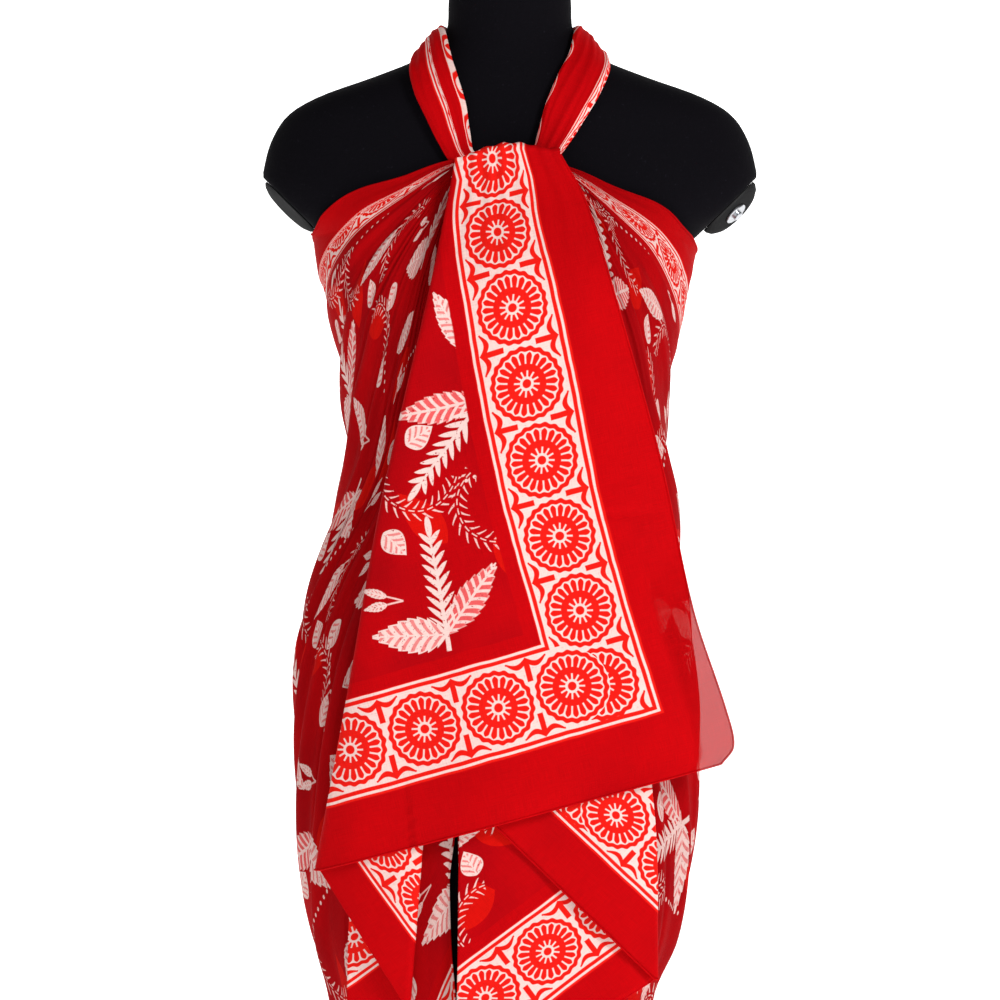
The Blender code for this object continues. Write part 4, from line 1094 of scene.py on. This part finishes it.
def borderInk(f, x, y):
    # the row of roundels between two ruled lines, and how far this place is from the cloth's edge
    p = printed
    fromEnd = x.least(clothWide * 1000 - x)
    fromSide = y.least(cloth["height"] * 1000 - y)
    edge = fromEnd.least(fromSide)
    alongSide = fromEnd - p["firstOnLongEdge"]
    upper = y.maths("GREATER_THAN", 800)
    alongEnd = y * (1 - upper * 2) + upper * (cloth["height"] * 1000) - p["firstOnShortEdge"]
    sideX = alongSide - (alongSide / p["pitch"]).maths("ROUND").most(0) * p["pitch"]
    endX = alongEnd - (alongEnd / p["pitch"]).maths("ROUND").most(0) * p["pitch"]
    sideY, endY = fromSide - p["rowCentre"], fromEnd - p["rowCentre"]
    inSideRow = f.vector("LENGTH", f.join(sideX, sideY), output=1).maths("LESS_THAN", 32.4)
    inSideRow = inSideRow.most(alongSide.maths("GREATER_THAN", 0))
    inSideRow = inSideRow * fromSide.maths("LESS_THAN", p["innerRule"][0] + 1)
    own = f.mixPlace(inSideRow, f.join(endX, endY), f.join(sideX, sideY))
    ownX, ownY, _ = f.split(own)
    r = f.vector("LENGTH", own, output=1)
    turn = ownY.maths("ARCTAN2", ownX)
    wave = (turn * p["petals"]).maths("COSINE")
    outer = p["rimOuter"] + wave * 0.7
    inner = p["rimInner"] + wave * 0.5
    spoke, ray = (
        (turn / (2 * pi / count)).fromStripe(1) * (2 * pi / count) * r for count in (p["petals"], p["rays"]))
    swell = ((r - 21.9) / 4.4).most(0).power(3) * 2.3
    spoke = (spoke - swell - 0.72).most(p["hub"] - r).most(r - inner)
    ray = (ray - 0.72).most(abs(r - p["rayMiddle"]) - 3.1)
    ring = abs(r - p["eye"]) - 1.1
    # a bracket and stem in each gap, on both sides of the row
    t = p["pitch"] / 2 - abs(ownX)
    q = 35.0 - abs(ownY)
    bow = 2.6 + (t.maths("MINIMUM", 17) * (pi / 17)).maths("SINE") * 4.4
    bracket = abs(q - bow) - 2.5 + (t / 19).most(0).power(3) * 2.2
    bracket = bracket.most(t - 18)
    stem = (abs(t) - 2.5).most(abs(q - 12.5) - 8.5)
    mark = bracket.least(stem).most(33.0 - r)
    ground = (outer - r).most(-mark)
    white = ground.least(spoke).least(ray).least(ring).below(0)
    white = white * edge.between(p["outerRule"][1], p["innerRule"][0])
    line = edge.between(*p["outerLine"]).most(edge.between(*p["innerLine"]))
    inBand = edge.between(p["outerLine"][0] - 2.2, p["innerLine"][1] + 0.6, 1.2)
    return edge, white.most(line), inBand


def printedCloth(name, depth, sheer=False):
    # depth below 1 darkens every colour as painted shade, for the wrap, which lies in shade behind the
    # panels
    f = Finish(name)
    shade = {}
    for key in ("marginRed", "fieldRed", "deepRed", "ornamentRed", "paleRed", "salmon", "white"):
        shade[key] = tuple(v * depth for v in colour(*printed[key])[:3]) + (1,)
    laid = f.node("ShaderNodeUVMap", {"uv_map": "cloth"}, {})
    # blocks are stamped by hand, so no line is quite straight
    slow, quick = f.noise(laid, 14, 1), f.noise(laid, 420, 2)
    drift = f.node("ShaderNodeTexNoise", {}, {"Vector": laid, "Scale": 26.0}, 1)
    drift = f.vector("SUBTRACT", drift, (0.5, 0.5, 0.5))
    place = f.vector("MULTIPLY_ADD", laid, (1000, 1000, 0), f.vector("MULTIPLY", drift, (2.4, 2.4, 0)))
    x, y, _ = f.split(place)
    edge, white, inBand = borderInk(f, x, y)
    inField = edge.above(printed["plainStrip"], 0.8)
    # the field's blocks are charted as they are seen, from the cloth's other end
    seen = f.join(clothWide * 1000 - x, y)
    ink, tone = fieldInk(f, seen)
    wear = quick.above(0.33, 0.12)
    # the ground dye is uneven and a little paler where the pale leaves were stamped
    pale = nearestOf(f, seen, printed["paleLeaves"])
    paleInk, _ = leafInk(f, pale, 60, 14, 5.0)
    field = f.mixColour(slow.above(0.55, 0.35), shade["fieldRed"], shade["deepRed"])
    field = f.mixColour(paleInk * 0.75, field, shade["paleRed"])
    field = f.mixColour(ink * wear, field, f.mixColour(tone, shade["salmon"], shade["white"]))
    strip = f.mixColour(slow.above(0.6, 0.4) * 0.35, shade["marginRed"], shade["deepRed"])
    ground = f.mixColour(inField, strip, field)
    ground = f.mixColour(inBand, ground, shade["ornamentRed"])
    ground = f.mixColour(white * (wear * 0.25 + 0.75), ground, shade["white"])
    # cotton voile: threads both ways, thick and thin
    warp = f.noise(f.vector("MULTIPLY", place, (1.6, 0.06, 0)), 1.0, 2)
    weft = f.noise(f.vector("MULTIPLY", place, (0.06, 1.6, 0)), 1.0, 2)
    threads = warp + weft
    threadPitch = 2 * pi / 0.62
    dyed = f.node("ShaderNodeHueSaturation", {}, {"Value": threads * 0.34 + 0.66, "Color": ground})
    weave = (x * threadPitch).maths("SINE") * (y * threadPitch).maths("SINE")
    crumple = f.noise(f.vector("MULTIPLY", place, (0.05, 0.05, 0)), 1.0, 3)
    height = weave * 0.12 + threads * 0.5 + crumple * 1.6
    f.set(Base_Color=dyed, Roughness=0.82, Normal=f.bump(height, 0.0004, 0.6), Specular_IOR_Level=0.05)
    if sheer:
        # one layer of voile lets some light through at the free corner
        f.set(Alpha=1 - x.below(30, 8) * y.below(150, 60) * 0.3)
    print(name, "made")
    return f.material


formFinishes = {  # screen colours of the form and its stand
    "jersey": (12, 10, 15),
    "enamel": (12, 12, 13),
    "plate": (11, 11, 12),
    "steel": (196, 198, 202),
}


def jerseyFinish():
    f = Finish("blackJersey")
    laid = f.node("ShaderNodeTexCoord", {}, {}, 3)
    rib = f.noise(f.vector("MULTIPLY", laid, (900, 900, 120)), 1.0, 2)
    cross = f.noise(f.vector("MULTIPLY", laid, (140, 140, 700)), 1.0, 2)
    lint = f.noise(laid, 260, 3).above(0.72, 0.08)
    base = f.mixColour(lint * 0.5, colour(*formFinishes["jersey"]), colour(34, 32, 40))
    f.set(Base_Color=f.mixColour(rib * 0.5, base, colour(4, 4, 6)), Roughness=0.92)
    f.set(Normal=f.bump(rib + cross, 0.0004, 0.4), Specular_IOR_Level=0.06)
    return f.material


def enamelFinish(name, tint, roughness, shine=0.5):
    f = Finish(name)
    laid = f.node("ShaderNodeTexCoord", {}, {}, 3)
    speck = f.noise(laid, 900, 2)
    cloud = f.noise(laid, 14, 3)
    f.set(Base_Color=f.mixColour(cloud * 0.6, colour(*tint), colour(*(v + 6 for v in tint))))
    f.set(Roughness=cloud * 0.12 + roughness, Normal=f.bump(speck, 0.0001, 0.4), Specular_IOR_Level=shine)
    return f.material


def steelFinish():
    f = Finish("brushedSteel")
    laid = f.node("ShaderNodeTexCoord", {}, {}, 3)
    grain = f.noise(f.vector("MULTIPLY", laid, (60, 60, 2200)), 1.0, 3)
    f.set(Base_Color=f.mixColour(grain * 0.4, colour(*formFinishes["steel"]), colour(150, 152, 156)))
    f.set(Metallic=1.0, Roughness=grain * 0.2 + 0.2, Normal=f.bump(grain, 0.00008, 0.4))
    return f.material


buildStudio()
wrapCloth, wrapHem = buildWrap()
overCloth, overHem = buildOverPanel()
underCloth, underHem = buildUnderPanel()
leftStrap, leftLength, leftRound = buildStrap("strap_left_cloth", "left", 51)
rightStrap, rightLength, rightRound = buildStrap("strap_right_cloth", "right", 52)
knot = buildKnot()
leftTail, rightTail = buildTail("tail_left_cloth", "left"), buildTail("tail_right_cloth", "right")
formBody = buildForm()
turned = standPieces()

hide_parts("wrap_left", "wrap_right")
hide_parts("over_panel")
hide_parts("under_panel")
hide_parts("strap_left")
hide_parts("strap_right")
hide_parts("neck_knot")
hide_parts("tail_left")
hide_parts("tail_right")
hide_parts("form_torso")
clothPieces = [wrapCloth, wrapHem, overCloth, overHem, underCloth, underHem, leftStrap, rightStrap, knot,
               leftTail, rightTail]
for piece in clothPieces + [formBody] + list(turned.values()):
    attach(piece, "root")

# the wrap's copy has every colour darkened to 0.78 as painted shade
cotton, shadedCotton = printedCloth("printedCotton", 1.0), printedCloth("printedCottonPaintedShade", 0.78)
sheerCotton = printedCloth("printedCottonSheer", 1.0, True)
jersey, steel = jerseyFinish(), steelFinish()
enamel = enamelFinish("blackEnamel", formFinishes["enamel"], 0.22)
plate = enamelFinish("blackPlate", formFinishes["plate"], 0.7, 0.08)
for pieces, finish in (
    ((wrapCloth, wrapHem), shadedCotton),
    ((overCloth, overHem), sheerCotton),
    ((underCloth, underHem, leftStrap, rightStrap, knot, leftTail, rightTail), cotton),
    ((formBody,), jersey),
    ((turned["pole"],), steel),
    ((turned["base"], turned["collar"]), enamel),
):
    for piece in pieces:
        piece.data.materials.append(finish)
for node, finish in (
    ("form_neck_cap", enamel), ("arm_plate_left", plate), ("arm_plate_right", plate),
    ("arm_peg_right", steel),
):
    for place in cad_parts[node].material_slots:
        place.material = finish
print("finishes made")

# an area for each strap and tail is worked out here, and nothing keeps it
for strap, long, around in ((leftStrap, leftLength, leftRound), (rightStrap, rightLength, rightRound)):
    0.75 * around * long
for tail, side, tied in ((leftTail, "left", [knot]), (rightTail, "right", [])):
    tip, long = tails["rows"][-1][1], tails["lengths"][side] + tails["pointDrop"]
    0.66 * tip * long
